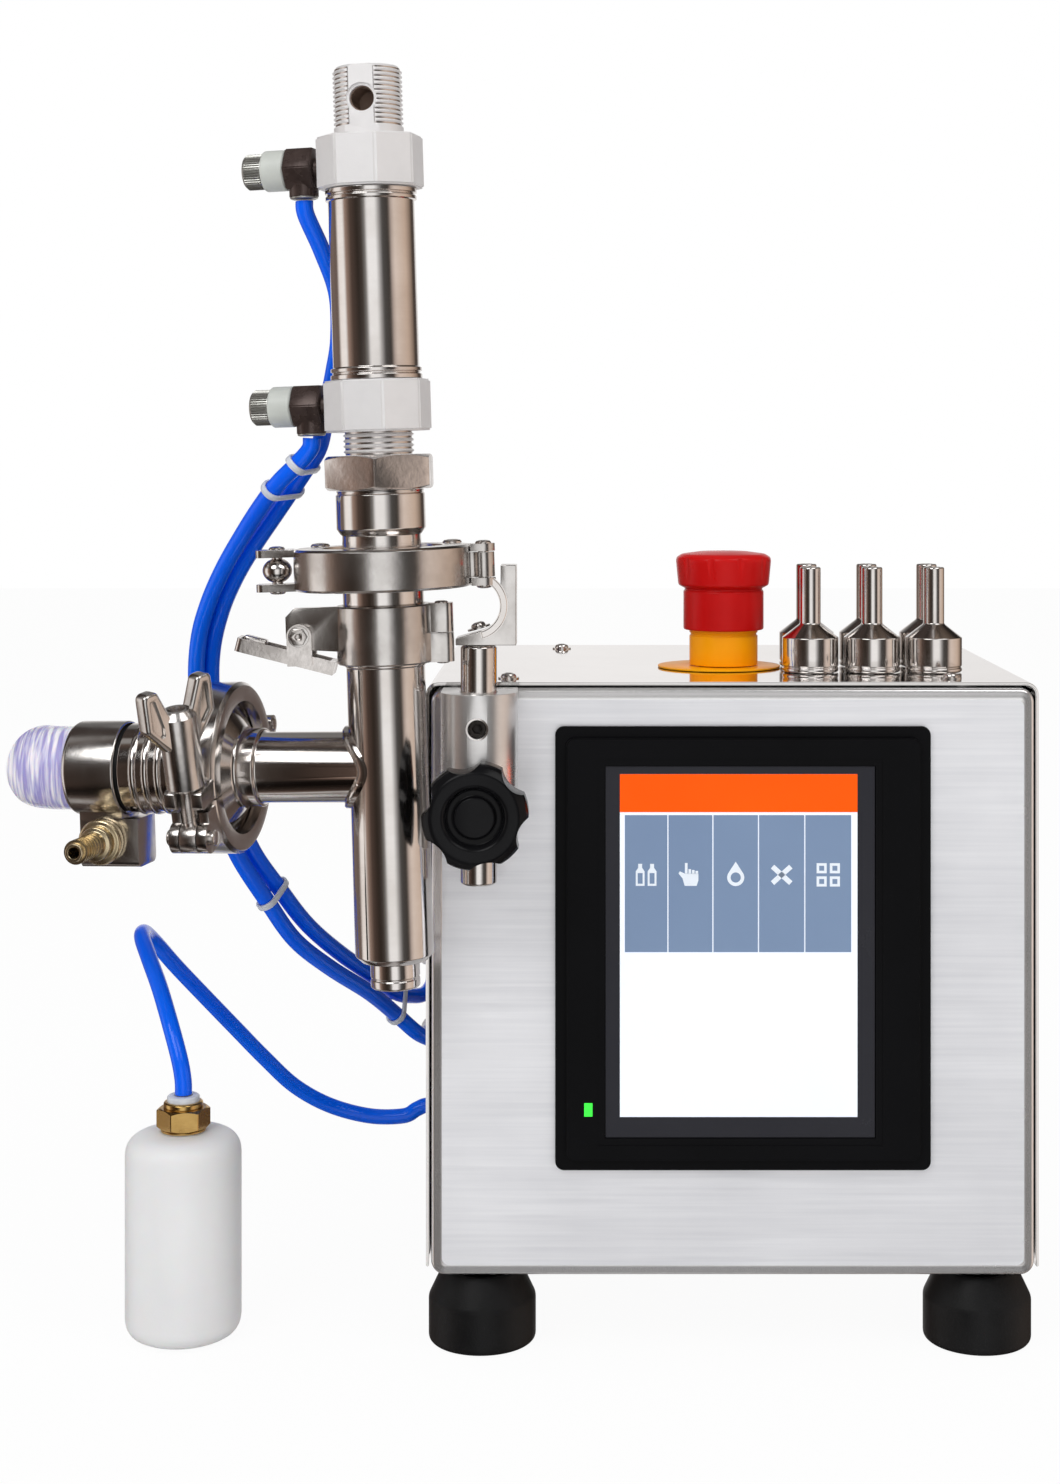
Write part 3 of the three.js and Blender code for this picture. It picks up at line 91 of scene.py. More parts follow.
# and how bright that surround is, by degrees above the horizon
mirrorHeights = [
    (-90, 0.55), (-66, 0.50), (-52, 0.17), (-42, 0.15), (-34, 0.8), (-28, 1.0), (12, 1.0),
    (20, 0.4), (32, 0.2), (50, 0.28), (64, 0.28), (75, 0.14), (84, 0.5), (90, 0.9),
]
lightSettings = {
    "worldDiffuse": 0.62,
    "key": {"place": (-900, -1500, 1700), "size": 1.3, "power": 15},
    "fill": {"place": (1200, -1200, 2300), "size": 1.6, "power": 16},
}


def addNode(tree, kind, inputs=None, **settings):
    node = tree.nodes.new(kind)
    for name, value in settings.items():
        setattr(node, name, value)
    for name, value in (inputs or {}).items():
        socket = node.inputs[name]
        if isinstance(value, bpy.types.NodeSocket):
            tree.links.new(value, socket)
        else:
            socket.default_value = value
    return node


def newGroup(name, inputs, outputs):
    group = bpy.data.node_groups.new(name, "ShaderNodeTree")
    for socketName, kind, value in inputs:
        socket = group.interface.new_socket(socketName, in_out="INPUT", socket_type=kind)
        socket.default_value = value
    for socketName, kind in outputs:
        group.interface.new_socket(socketName, in_out="OUTPUT", socket_type=kind)
    return group, group.nodes.new("NodeGroupInput"), group.nodes.new("NodeGroupOutput")


# Streaks or grains: noise stretched by a scale for each axis, as a mask and as a normal
def grainGroup():
    group, given, out = newGroup("surfaceGrain", [
        ("Vector", "NodeSocketVector", (0, 0, 0)),
        ("Stretch", "NodeSocketVector", (400, 400, 400)),
        ("Detail", "NodeSocketFloat", 3.0), ("Depth", "NodeSocketFloat", 0.00002),
        ("Low", "NodeSocketFloat", 0.0), ("High", "NodeSocketFloat", 1.0),
    ], [("Mask", "NodeSocketFloat"), ("Normal", "NodeSocketVector")])
    scaled = addNode(group, "ShaderNodeVectorMath", {
        0: given.outputs["Vector"], 1: given.outputs["Stretch"]}, operation="MULTIPLY")
    noise = addNode(group, "ShaderNodeTexNoise", {
        "Vector": scaled.outputs[0], "Scale": 1.0, "Detail": given.outputs["Detail"]})
    bump = addNode(group, "ShaderNodeBump", {
        "Height": noise.outputs["Fac"], "Distance": given.outputs["Depth"], "Strength": 1.0})
    spread = addNode(group, "ShaderNodeMapRange", {
        "Value": noise.outputs["Fac"], "From Min": given.outputs["Low"],
        "From Max": given.outputs["High"]})
    group.links.new(spread.outputs["Result"], out.inputs["Mask"])
    group.links.new(bump.outputs["Normal"], out.inputs["Normal"])
    return group


# Broad soft patches, as handling and dust leave them
def mottleGroup():
    group, given, out = newGroup("surfaceMottle", [
        ("Vector", "NodeSocketVector", (0, 0, 0)), ("Scale", "NodeSocketFloat", 30.0),
        ("Low", "NodeSocketFloat", 0.35), ("High", "NodeSocketFloat", 0.7),
    ], [("Mask", "NodeSocketFloat")])
    noise = addNode(group, "ShaderNodeTexNoise", {
        "Vector": given.outputs["Vector"], "Scale": given.outputs["Scale"], "Detail": 4.0,
        "Roughness": 0.55})
    spread = addNode(group, "ShaderNodeMapRange", {
        "Value": noise.outputs["Fac"], "From Min": given.outputs["Low"],
        "From Max": given.outputs["High"]})
    group.links.new(spread.outputs["Result"], out.inputs["Mask"])
    return group


surfaceGrain = grainGroup()
surfaceMottle = mottleGroup()

# What the finishes of the panel's picture share
screenGlass = {"slot": "display_glass", "grain": 3000, "depth": 0.000001,
               "rough": (0.2, 0.26), "grainShare": 0.1}
# Finishes: the record's slot, base and patch colour, patch size, the grain's stretch along the
# axes and its depth, roughness from and to, and the shader's own values
finishes = {
    "brushedSteel": dict(
        slot="brushed_steel", base=(0.95, 0.95, 0.975), patch=(0.84, 0.845, 0.88), patchSize=9,
        grain=(14, 500, 700), depth=0.00003, rough=(0.34, 0.5), metal=0.55, grainShare=0.5,
        grainRange=(0.3, 0.7)),
    "rimSteel": dict(
        slot="brushed_steel", base=(0.96, 0.95, 0.95), patch=(0.85, 0.835, 0.83), patchSize=30,
        grain=90, depth=0.000006, rough=(0.2, 0.3), metal=0.85, grainShare=0.3),
    "polishedSteel": dict(
        slot="polished_steel", base=(0.83, 0.80, 0.78), patch=(0.70, 0.655, 0.62), patchSize=34,
        grain=(60, 60, 1500), depth=0.000004, rough=(0.09, 0.18), metal=1.0, grainShare=0.25),
    "polishedSheet": dict(
        slot="brushed_steel", base=(0.84, 0.825, 0.81), patch=(0.76, 0.74, 0.725), patchSize=12,
        grain=(30, 800, 30), depth=0.000004, rough=(0.05, 0.11), metal=1.0, grainShare=0.3),
    "turnedSteel": dict(
        slot="polished_steel", base=(0.90, 0.89, 0.885), patch=(0.76, 0.745, 0.735), patchSize=40,
        grain=(90, 90, 1200), depth=0.00003, rough=(0.24, 0.36), metal=0.9, grainShare=0.3),
    "satinSteel": dict(
        slot="polished_steel", base=(0.74, 0.715, 0.695), patch=(0.58, 0.55, 0.525), patchSize=60,
        grain=260, depth=0.00005, rough=(0.14, 0.28), metal=1.0, grainShare=0.3),
    "castSteel": dict(
        slot="steel", base=(0.84, 0.80, 0.775), patch=(0.60, 0.56, 0.53), patchSize=90, grain=420,
        depth=0.00007, rough=(0.16, 0.32), metal=1.0, grainShare=0.35),
    "blastedAluminium": dict(
        slot="aluminium", base=(0.88, 0.865, 0.865), patch=(0.80, 0.785, 0.785), patchSize=40,
        grain=2200, depth=0.00005, rough=(0.4, 0.52), metal=0.35, grainShare=0.25),
    "nickel": dict(
        slot="grey_plastic", base=(0.56, 0.56, 0.53), patch=(0.42, 0.42, 0.39), patchSize=120,
        grain=900, depth=0.00003, rough=(0.26, 0.4), metal=0.9, grainShare=0.3),
    "darkBronze": dict(
        slot="dark_bronze", base=(0.052, 0.034, 0.030), patch=(0.10, 0.07, 0.062), patchSize=120,
        grain=900, depth=0.00003, rough=(0.22, 0.36), metal=0.45, grainShare=0.2),
    "brass": dict(
        slot="brass", base=(0.66, 0.43, 0.15), patch=(0.48, 0.29, 0.09), patchSize=80,
        grain=(300, 300, 1400), depth=0.00002, rough=(0.17, 0.32), metal=1.0, grainShare=0.3),
    "paleBrass": dict(
        slot="brass", base=(0.80, 0.68, 0.46), patch=(0.62, 0.49, 0.30), patchSize=110,
        grain=(500, 1400, 500), depth=0.00002, rough=(0.2, 0.36), metal=1.0, grainShare=0.3),
    "blackRubber": dict(
        slot="black_rubber", base=(0.006, 0.006, 0.0065), patch=(0.014, 0.014, 0.0145),
        patchSize=28, grain=1300, depth=0.00006, rough=(0.42, 0.6), grainShare=0.2, shine=0.2),
    "blackPlastic": dict(
        slot="black_plastic", base=(0.0035, 0.0035, 0.004), patch=(0.008, 0.008, 0.009),
        patchSize=40, grain=1900, depth=0.00003, rough=(0.15, 0.24), grainShare=0.2, shine=0.12),
    "bezelPlastic": dict(
        slot="black_plastic", base=(0.002, 0.002, 0.0025), patch=(0.0045, 0.0045, 0.0055),
        patchSize=12, grain=2600, depth=0.000025, rough=(0.30, 0.4), grainShare=0.15, shine=0.07),
    "displayFrame": dict(
        slot="display_glass", base=(0.022, 0.022, 0.028), patch=(0.028, 0.028, 0.034),
        patchSize=10, grain=1500, depth=0.000004, rough=(0.22, 0.3), grainShare=0.1, shine=0.12),
    "redPlastic": dict(
        slot="red_plastic", base=(0.62, 0.004, 0.004), patch=(0.52, 0.002, 0.002), patchSize=26,
        grain=1200, depth=0.00002, rough=(0.24, 0.36), grainShare=0.15, shine=0.2),
    "yellowPlastic": dict(
        slot="yellow_plastic", base=(1.0, 0.44, 0.0), patch=(1.0, 0.37, 0.0), patchSize=26,
        grain=1100, depth=0.00002, rough=(0.28, 0.4), grainShare=0.15, shine=0.2),
    "greyPlastic": dict(
        slot="grey_plastic", base=(0.60, 0.62, 0.58), patch=(0.50, 0.52, 0.49), patchSize=60,
        grain=1500, depth=0.00002, rough=(0.34, 0.46), grainShare=0.15),
    "blueTube": dict(
        slot="blue_tube", base=(0.0, 0.15, 1.0), patch=(0.0, 0.11, 0.92), patchSize=14, grain=500,
        depth=0.000006, rough=(0.12, 0.2), grainShare=0.1, shine=0.35),
    "whitePlastic": dict(
        slot="white_plastic", base=(0.86, 0.86, 0.86), patch=(0.80, 0.80, 0.81), patchSize=14,
        grain=800, depth=0.00003, rough=(0.36, 0.48), grainShare=0.1, subsurface=0.12),
    "whiteSeal": dict(
        slot="white_seal", base=(0.78, 0.78, 0.75), patch=(0.68, 0.67, 0.63), patchSize=80,
        grain=900, depth=0.00002, rough=(0.45, 0.6), grainShare=0.15),
    "clearTie": dict(
        slot="clear_hose", base=(0.80, 0.83, 0.88), patch=(0.70, 0.74, 0.82), patchSize=160,
        grain=900, depth=0.00002, rough=(0.22, 0.34), grainShare=0.1, alpha=0.82),
    "screenOrange": dict(
        **screenGlass, base=(1.0, 0.105, 0.002), patch=(0.93, 0.085, 0.001), patchSize=8,
        glow=0.2, shine=0.1),
    "screenSlate": dict(
        **screenGlass, base=(0.155, 0.225, 0.35), patch=(0.135, 0.20, 0.325), patchSize=8,
        glow=0.25),
    "screenPale": dict(
        **screenGlass, base=(0.80, 0.84, 0.92), patch=(0.77, 0.815, 0.90), patchSize=7, glow=0.3),
    "screenWhite": dict(
        **screenGlass, base=(0.82, 0.875, 0.95), patch=(0.79, 0.85, 0.93), patchSize=8,
        glow=0.06),
    "greenLamp": dict(
        slot="display_glass", base=(0.03, 0.75, 0.04), patch=(0.02, 0.6, 0.03), patchSize=300,
        grain=900, depth=0.00001, rough=(0.2, 0.3), grainShare=0.1, glow=0.8),
    "wrappedHose": dict(
        slot="clear_hose", base=(1.0, 0.98, 1.0), patch=(0.34, 0.31, 0.66), patchSize=55,
        grain=(520, 60, 34), depth=0.0011, rough=(0.08, 0.2), grainShare=0.85,
        grainRange=(0.4, 0.6), subsurface=0.25, coat=0.4),
    # painted shade: a brown finish for the inside of the boss's eye, darker than the boss around
    # it
    "brownHoleShade": dict(
        slot="steel", base=(0.34, 0.25, 0.20), patch=(0.22, 0.15, 0.12), patchSize=90, grain=700,
        depth=0.00003, rough=(0.3, 0.45), metal=0.7, grainShare=0.2),
    # painted shade: a near-black finish for what sits down a hole
    "darkHoleShade": dict(
        slot="steel", base=(0.02, 0.017, 0.015), patch=(0.045, 0.036, 0.03), patchSize=90,
        grain=700, depth=0.00003, rough=(0.35, 0.5), metal=0.6, grainShare=0.2),
}


def makeFinish(name, spec):
    material = bpy.data.materials.new(name)
    material.use_nodes = True
    tree = material.node_tree
    shader = tree.nodes["Principled BSDF"]
    where = addNode(tree, "ShaderNodeTexCoord").outputs["Object"]
    grain = addNode(tree, "ShaderNodeGroup", node_tree=surfaceGrain)
    stretch = spec["grain"]
    if not isinstance(stretch, tuple):
        stretch = (stretch,) * 3
    grain.inputs["Stretch"].default_value = stretch
    grain.inputs["Depth"].default_value = spec["depth"]
    grain.inputs["Low"].default_value, grain.inputs["High"].default_value = spec.get(
        "grainRange", (0.0, 1.0))
    mottle = addNode(tree, "ShaderNodeGroup", node_tree=surfaceMottle)
    mottle.inputs["Scale"].default_value = spec["patchSize"]
    tree.links.new(where, grain.inputs["Vector"])
    tree.links.new(where, mottle.inputs["Vector"])
    both = addNode(tree, "ShaderNodeMix", {
        0: spec["grainShare"], 2: mottle.outputs["Mask"], 3: grain.outputs["Mask"]},
        data_type="FLOAT")
    colour = addNode(tree, "ShaderNodeMix", {
        0: both.outputs[0], 6: (*spec["base"], 1), 7: (*spec["patch"], 1)}, data_type="RGBA")
    rough = addNode(tree, "ShaderNodeMapRange", {
        "Value": both.outputs[0], "To Min": spec["rough"][0], "To Max": spec["rough"][1]})
    tree.links.new(colour.outputs[2], shader.inputs["Base Color"])
    tree.links.new(rough.outputs["Result"], shader.inputs["Roughness"])
    tree.links.new(grain.outputs["Normal"], shader.inputs["Normal"])
    shader.inputs["Metallic"].default_value = spec.get("metal", 0)
    shader.inputs["Coat Weight"].default_value = spec.get("coat", 0)
    shader.inputs["Subsurface Weight"].default_value = spec.get("subsurface", 0)
    shader.inputs["Subsurface Scale"].default_value = 0.003
    shader.inputs["Alpha"].default_value = spec.get("alpha", 1)
    shader.inputs["Specular IOR Level"].default_value = spec.get("shine", 0.5)
    if "glow" in spec:
        tree.links.new(colour.outputs[2], shader.inputs["Emission Color"])
        shader.inputs["Emission Strength"].default_value = spec["glow"]
    return material


finish = {name: makeFinish(name, spec) for name, spec in finishes.items()}
print("finishes made")

# Frames of the leaning column, its branch pipe, the pipe clamp and the clamp's bolt
columnFrame = Matrix.Translation(place(-90.6, -25, 362)) @ Matrix.Rotation(
    math.radians(-1.8), 4, "Y")
branchFrame = columnFrame @ Matrix.Translation((0, 0, -89 * mm)) @ Matrix.Rotation(
    math.radians(-12), 4, "Z") @ Matrix.Rotation(math.radians(-90), 4, "Y")
pipeClampFrame = branchFrame @ Matrix.Translation((0, 0, 77 * mm)) @ Matrix.Rotation(
    math.radians(-14), 4, "Z")
boltFrame = pipeClampFrame @ Matrix.Translation((0, -46.5 * mm, 0)) @ Matrix.Rotation(
    math.radians(90), 4, "Y")


def standing(x, y, z):
    return Matrix.Translation(place(x, y, z))


def newPiece(name, mesh):
    piece = bpy.data.objects.new(name, mesh)
    bpy.context.scene.collection.objects.link(piece)
    return piece


def bodyOf(node):
    return nodes[node]["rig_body"]


# Gives a finished mesh its finish and body; what it stands for is hidden
def settle(piece, finishName, body, stands=(), sharp=32):
    piece.data.materials.clear()
    piece.data.materials.append(finish[finishName])
    piece.data.shade_smooth()
    piece.data.set_sharp_from_angle(angle=math.radians(sharp))
    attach(piece, body)
    if stands:
        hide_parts(*stands)
    return piece


def meshOf(shape, frameMatrix=None):
    mesh = bpy.data.meshes.new("shape")
    shape.to_mesh(mesh)
    shape.free()
    if frameMatrix is not None:
        mesh.transform(frameMatrix)
    return mesh


# Faces between rings of points that follow one another
def joinRings(shape, rings):
    for near, far in zip(rings, rings[1:]):
        for i in range(len(near)):
            j = (i + 1) % len(near)
            shape.faces.new((near[i], near[j], far[j], far[i]))


# Turned shape: a profile of (radius, height) in millimetres, spun about Z. A profile that
# does not start on the axis closes on itself
def turned(profile, sides=96):
    shape = bmesh.new()
    closed = profile[0][0] > 1e-6 and profile[-1][0] > 1e-6
    rings = []
    for radius, height in profile:
        if radius < 1e-6:
            rings.append([shape.verts.new((0, 0, height * mm))])
        else:
            rings.append([shape.verts.new((
                radius * mm * math.cos(2 * math.pi * i / sides),
                radius * mm * math.sin(2 * math.pi * i / sides), height * mm))
                for i in range(sides)])
    pairs = list(zip(rings, rings[1:]))
    if closed:
        pairs.append((rings[-1], rings[0]))
    for low, high in pairs:
        for i in range(sides):
            j = (i + 1) % sides
            corners = [low[i % len(low)], low[j % len(low)], high[j % len(high)],
                       high[i % len(high)]]
            corners = list(dict.fromkeys(corners))
            if len(corners) > 2:
                shape.faces.new(corners)
    bmesh.ops.recalc_face_normals(shape, faces=shape.faces)
    return shape


# The same profile with each inner corner rounded
def eased(profile, radius=0.5):
    closed = profile[0][0] > 1e-6 and profile[-1][0] > 1e-6
    points = [Vector(p) for p in profile]
    count = len(points)
    out = []
    for i, point in enumerate(points):
        if not closed and i in (0, count - 1):
            out.append(tuple(point))
            continue
        before, after = points[i - 1], points[(i + 1) % count]
        a, b = before - point, after - point
        if min(a.length, b.length) < 1e-6 or a.angle(b) > math.radians(172):
            out.append(tuple(point))
            continue
        reach = min(radius, a.length * 0.45, b.length * 0.45)
        start, end = point + a.normalized() * reach, point + b.normalized() * reach
        for t in (0, 1 / 3, 2 / 3, 1):
            bent = start * (1 - t) ** 2 + point * (2 * t * (1 - t)) + end * t * t
            out.append((max(bent[0], 0), bent[1]))
    return out


# Prism of an outline in XY with its edges broken
def prism(outline, low, high, edge=0.4, segments=2):
    shape = bmesh.new()
    floor = [shape.verts.new((x * mm, y * mm, low * mm)) for x, y in outline]
    roof = [shape.verts.new((x * mm, y * mm, high * mm)) for x, y in outline]
    shape.faces.new(floor[::-1])
    shape.faces.new(roof)
    joinRings(shape, [floor, roof])
    bmesh.ops.recalc_face_normals(shape, faces=shape.faces)
    if edge:
        breakEdges(shape, edge, segments)
    return shape


def breakEdges(shape, width, segments=2):
    sharp = [e for e in shape.edges if len(e.link_faces) == 2
             and e.calc_face_angle(0) > math.radians(35)]
    bmesh.ops.bevel(shape, geom=sharp, offset=width * mm, segments=segments,
                    affect="EDGES", clamp_overlap=True)


def regular(sides, acrossFlats, turn=0):
    radius = acrossFlats / 2 / math.cos(math.pi / sides)
    return [(radius * math.cos(turn + 2 * math.pi * i / sides),
             radius * math.sin(turn + 2 * math.pi * i / sides)) for i in range(sides)]


def slab(x0, x1, y0, y1, z0, z1, edge=0.4, segments=2):
    return prism([(x0, y0), (x1, y0), (x1, y1), (x0, y1)], z0, z1, edge, segments)


# A piece's mesh with its modifiers applied
def resultOf(piece):
    bpy.context.view_layer.update()
    evaluated = piece.evaluated_get(bpy.context.evaluated_depsgraph_get())
    return bpy.data.meshes.new_from_object(evaluated)


# Cuts and joins with the exact solver, on closed meshes
def combined(base, tools, operation="DIFFERENCE"):
    piece = newPiece("work", base)
    helpers = []
    for tool in tools:
        helper = newPiece("tool", tool)
        helpers.append(helper)
        modifier = piece.modifiers.new("combine", "BOOLEAN")
        modifier.operation = operation
        modifier.solver = "EXACT"
        modifier.object = helper
    mesh = resultOf(piece)
    for thing in [piece, *helpers]:
        bpy.data.objects.remove(thing)
    return mesh


# A shape with its sharper edges rounded
def bevelled(shape, width, segments, angle):
    piece = newPiece("work", meshOf(shape))
    bevel = piece.modifiers.new("edges", "BEVEL")
    bevel.width = width * mm
    bevel.segments = segments
    bevel.limit_method = "ANGLE"
    bevel.angle_limit = math.radians(angle)
    mesh = resultOf(piece)
    bpy.data.objects.remove(piece)
    return mesh


# A CAD node's merged copy with its edges broken and its curves shaded round
def dressed(nodeName, finishName):
    shape = bmesh.new()
    shape.from_mesh(nodes[nodeName].data)
    bmesh.ops.remove_doubles(shape, verts=shape.verts, dist=0.00002)
    bmesh.ops.dissolve_limit(shape, angle_limit=math.radians(0.6), verts=shape.verts,
                             edges=shape.edges)
    settle(newPiece(nodeName + "_dressed", bevelled(shape, 0.35, 2, 38)), finishName,
           bodyOf(nodeName), [nodeName])


# A smooth run through route points, eight steps from each point to the next
def smoothRun(points):
    run, steps = [], 8
    for i in range(len(points) - 1):
        p0 = points[max(i - 1, 0)]
        p1, p2 = points[i], points[i + 1]
        p3 = points[min(i + 2, len(points) - 1)]
        for k in range(steps):
            t = k / steps
            run.append(0.5 * ((2 * p1) + (p2 - p0) * t + (2 * p0 - 5 * p1 + 4 * p2 - p3) * t * t
                              + (3 * p1 - p0 - 3 * p2 + p3) * t ** 3))
    run.append(points[-1].copy())
    return run


# Sweeps a section, a list of points in its own plane, along a run
def swept(run, section):
    shape = bmesh.new()
    last = len(run) - 1
    ways = [(run[min(i + 1, last)] - run[max(i - 1, 0)]).normalized() for i in range(last + 1)]
    side = ways[0].orthogonal().normalized()
    rings = []
    for point, way in zip(run, ways):
        side = (side - way * side.dot(way)).normalized()
        up = way.cross(side)
        rings.append([shape.verts.new(point + side * a + up * b) for a, b in section])
    joinRings(shape, rings)
    shape.faces.new(rings[0][::-1])
    shape.faces.new(rings[-1])
    bmesh.ops.recalc_face_normals(shape, faces=shape.faces)
    return shape


def roundSection(radius, sides=16):
    return [(radius * mm * math.cos(2 * math.pi * i / sides),
             radius * mm * math.sin(2 * math.pi * i / sides)) for i in range(sides)]


def domed(radius, low, rise):
    return [(0, low), (radius, low), (radius, low + rise * 0.3),
            (radius * 0.86, low + rise * 0.72), (radius * 0.5, low + rise * 0.96),
            (0, low + rise)]


# A pin along Z with a rounded head at each end
def pinShape(radius, head, rise, half):
    top = [(radius, half)] + domed(head, half, rise)[1:]
    return turned([(x, -z) for x, z in top[::-1]] + top, 40)


def rodShape(radius, low, high, sides=64):
    return turned([(0, low), (radius, low), (radius, high), (0, high)], sides)


def tubeShape(inner, outer, low, high, sides=96):
    return turned([(inner, low), (outer, low), (outer, high), (inner, high)], sides)


def shifted(x, y, z, turn=None, axis="X"):
    frameMatrix = Matrix.Translation((x * mm, y * mm, z * mm))
    return frameMatrix @ Matrix.Rotation(math.radians(turn), 4, axis) if turn else frameMatrix


# Camera, level, at the photograph's viewing angle
camera = bpy.data.objects.new("camera", bpy.data.cameras.new("camera"))
camera.data.lens = cameraSettings["lens"]
camera.data.shift_x, camera.data.shift_y = cameraSettings["shift"]
camera.data.clip_start = 0.05
camera.data.clip_end = 50
camera.location = place(*cameraSettings["place"])
camera.rotation_euler = (math.radians(90), 0, 0)
bpy.context.scene.collection.objects.link(camera)
bpy.context.scene.camera = camera

# Air tubes: routes in the machine's millimetres, from the valve or the bottle to the cabinet
tubeSettings = {"radius": 4, "sides": 20}
lowerRoute = [
    (-123, -18.4, 419.5), (-123.8, -18.4, 414.5), (-130, -17.5, 407.5), (-138.5, -13.5, 399.5),
    (-147, -6, 389.5), (-156.5, 3, 376.5), (-168, 15, 359), (-177, 26, 341.5),
    (-182.5, 34, 324.5), (-184.5, 40, 303), (-182, 43, 276.5), (-176, 46, 247.5),
    (-167, 50, 221.5), (-153.5, 58, 197), (-142, 72, 175.5), (-127, 90, 158),
    (-109.5, 112, 140.5), (-97.5, 132, 124.5), (-88, 139, 114), (-82.5, 146, 109),
    (-81.5, 150, 108), (-81.5, 154.6, 108),
]
upperRoute = [
    (-126.3, -18.4, 525.8), (-125.5, -18, 519.5), (-119, -13, 504), (-113, -6.5, 485.5),
    (-112.5, -3, 465), (-115, -1, 449.5), (-118.5, 0, 432.5), (-121.5, -1, 416), (-128, -2, 405),
    (-135.3, 0, 394.5), (-143, 5, 384), (-153.5, 14, 370), (-163.5, 24, 355), (-171.5, 33, 339),
    (-177, 41, 320.5), (-178.5, 47, 300), (-175.5, 50, 274.5), (-170, 53, 248),
    (-161, 58, 222.5), (-149, 66, 202), (-137, 80, 181.5), (-122.5, 99, 163), (-107, 121, 146),
    (-98, 139, 134), (-91, 156, 128.5), (-85.5, 167, 127), (-82, 175.5, 130), (-81.5, 178, 136),
    (-81.5, 178, 140.6),
]
bottleRoute = [
    (-188.8, 29, 112.4), (-189, 29, 119), (-191, 31, 128), (-196.5, 39, 141.5),
    (-204.5, 54, 156), (-213, 71, 167), (-219.5, 88, 173), (-221.5, 104, 172.5),
    (-219, 120, 164), (-211, 135, 148.5), (-199, 147, 131), (-184, 158, 111),
    (-170, 167, 93), (-155, 175, 76), (-137, 181, 64), (-116, 184, 57.5),
    (-98, 184, 57.5), (-91, 184, 61), (-86.5, 184, 63), (-81.9, 184, 63),
]


def airTube(name, node, route, crossing):
    run = smoothRun([place(*point) for point in route])
    tube = newPiece(name, meshOf(swept(
        run, roundSection(tubeSettings["radius"], tubeSettings["sides"]))))
    settle(tube, "blueTube", "cabinet", [node])
    if crossing:
        tube.parent = None
        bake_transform(tube)
    return run


lowerRun = airTube("lower_air_line", "lower_air_tube", lowerRoute, True)
upperRun = airTube("upper_air_line", "upper_air_tube", upperRoute, True)
airTube("bottle_air_line", "bottle_air_tube", bottleRoute, False)
print("camera and cords made")

# The finish of each CAD node that no piece below replaces
nodeFinish = {
    "polishedSteel": ["valve_rod"], "satinSteel": ["estop_stem"],
    "blastedAluminium": ["piston", "air_valve"], "blackPlastic": ["power_inlet", "panel_case"],
    "displayFrame": ["panel_display"], "greyPlastic": ["estop_contact_block"],
    "brass": ["air_inlet"], "whiteSeal": ["valve_seal", "branch_seal"],
}
# The one of them that gets a copy with its edges broken; the others keep their own mesh
dressedNodes = {"air_inlet"}


# Geometry Nodes: copies of a small item on a circle, or in a row with a step
def repeatTree(name, layout):
    tree = bpy.data.node_groups.new(name, "GeometryNodeTree")
    tree.interface.new_socket("Geometry", in_out="INPUT", socket_type="NodeSocketGeometry")
    for socketName, kind, value in (
            ("Count", "NodeSocketInt", 8), ("Radius", "NodeSocketFloat", 0.01),
            ("Step", "NodeSocketVector", (0, 0, 0.01)), ("Item", "NodeSocketObject", None),
            ("Finish", "NodeSocketMaterial", None)):
        socket = tree.interface.new_socket(socketName, in_out="INPUT", socket_type=kind)
        if value is not None:
            socket.default_value = value
    tree.interface.new_socket("Geometry", in_out="OUTPUT", socket_type="NodeSocketGeometry")
    given = tree.nodes.new("NodeGroupInput")
    item = addNode(tree, "GeometryNodeObjectInfo", {"Object": given.outputs["Item"]})
    if layout == "circle":
        points = addNode(tree, "GeometryNodeMeshCircle", {
            "Vertices": given.outputs["Count"], "Radius": given.outputs["Radius"]})
        outward = addNode(tree, "GeometryNodeInputPosition")
        turn = addNode(tree, "FunctionNodeAlignRotationToVector", {
            "Vector": outward.outputs[0]}, axis="X", pivot_axis="Z")
        copies = addNode(tree, "GeometryNodeInstanceOnPoints", {
            "Points": points.outputs[0], "Instance": item.outputs["Geometry"],
            "Rotation": turn.outputs[0]})
    else:
        points = addNode(tree, "GeometryNodeMeshLine", {
            "Count": given.outputs["Count"], "Offset": given.outputs["Step"]})
        copies = addNode(tree, "GeometryNodeInstanceOnPoints", {
            "Points": points.outputs[0], "Instance": item.outputs["Geometry"]})
    real = addNode(tree, "GeometryNodeRealizeInstances", {
        "Geometry": copies.outputs["Instances"]})
    coloured = addNode(tree, "GeometryNodeSetMaterial", {
        "Geometry": real.outputs[0], "Material": given.outputs["Finish"]})
    out = tree.nodes.new("NodeGroupOutput")
    tree.links.new(coloured.outputs[0], out.inputs[0])
    return tree


circleTree = repeatTree("itemsOnCircle", "circle")
rowTree = repeatTree("itemsInRow", "row")


# Spacing is the circle's radius, or the row's step as a vector, in millimetres
def repeated(tree, item, count, spacing, finishName, frameMatrix=None):
    helper = newPiece("item", meshOf(item))
    carrier = newPiece("carrier", bpy.data.meshes.new("carrier"))
    modifier = carrier.modifiers.new("repeat", "NODES")
    modifier.node_group = tree
    values = {"Count": count, "Item": helper, "Finish": finish[finishName]}
    if tree == circleTree:
        values["Radius"] = spacing * mm
    else:
        values["Step"] = Vector(spacing) * mm
    for socket in tree.interface.items_tree:
        if socket.in_out == "INPUT" and socket.name in values:
            modifier[socket.identifier] = values[socket.name]
    mesh = resultOf(carrier)
    bpy.data.objects.remove(carrier)
    bpy.data.objects.remove(helper)
    if frameMatrix is not None:
        mesh.transform(frameMatrix)
    return mesh


def repeatedPiece(name, tree, item, count, spacing, finishName, frameMatrix, body, sharp=32):
    piece = newPiece(name, repeated(tree, item, count, spacing, finishName, frameMatrix))
    return settle(piece, finishName, body, sharp=sharp)


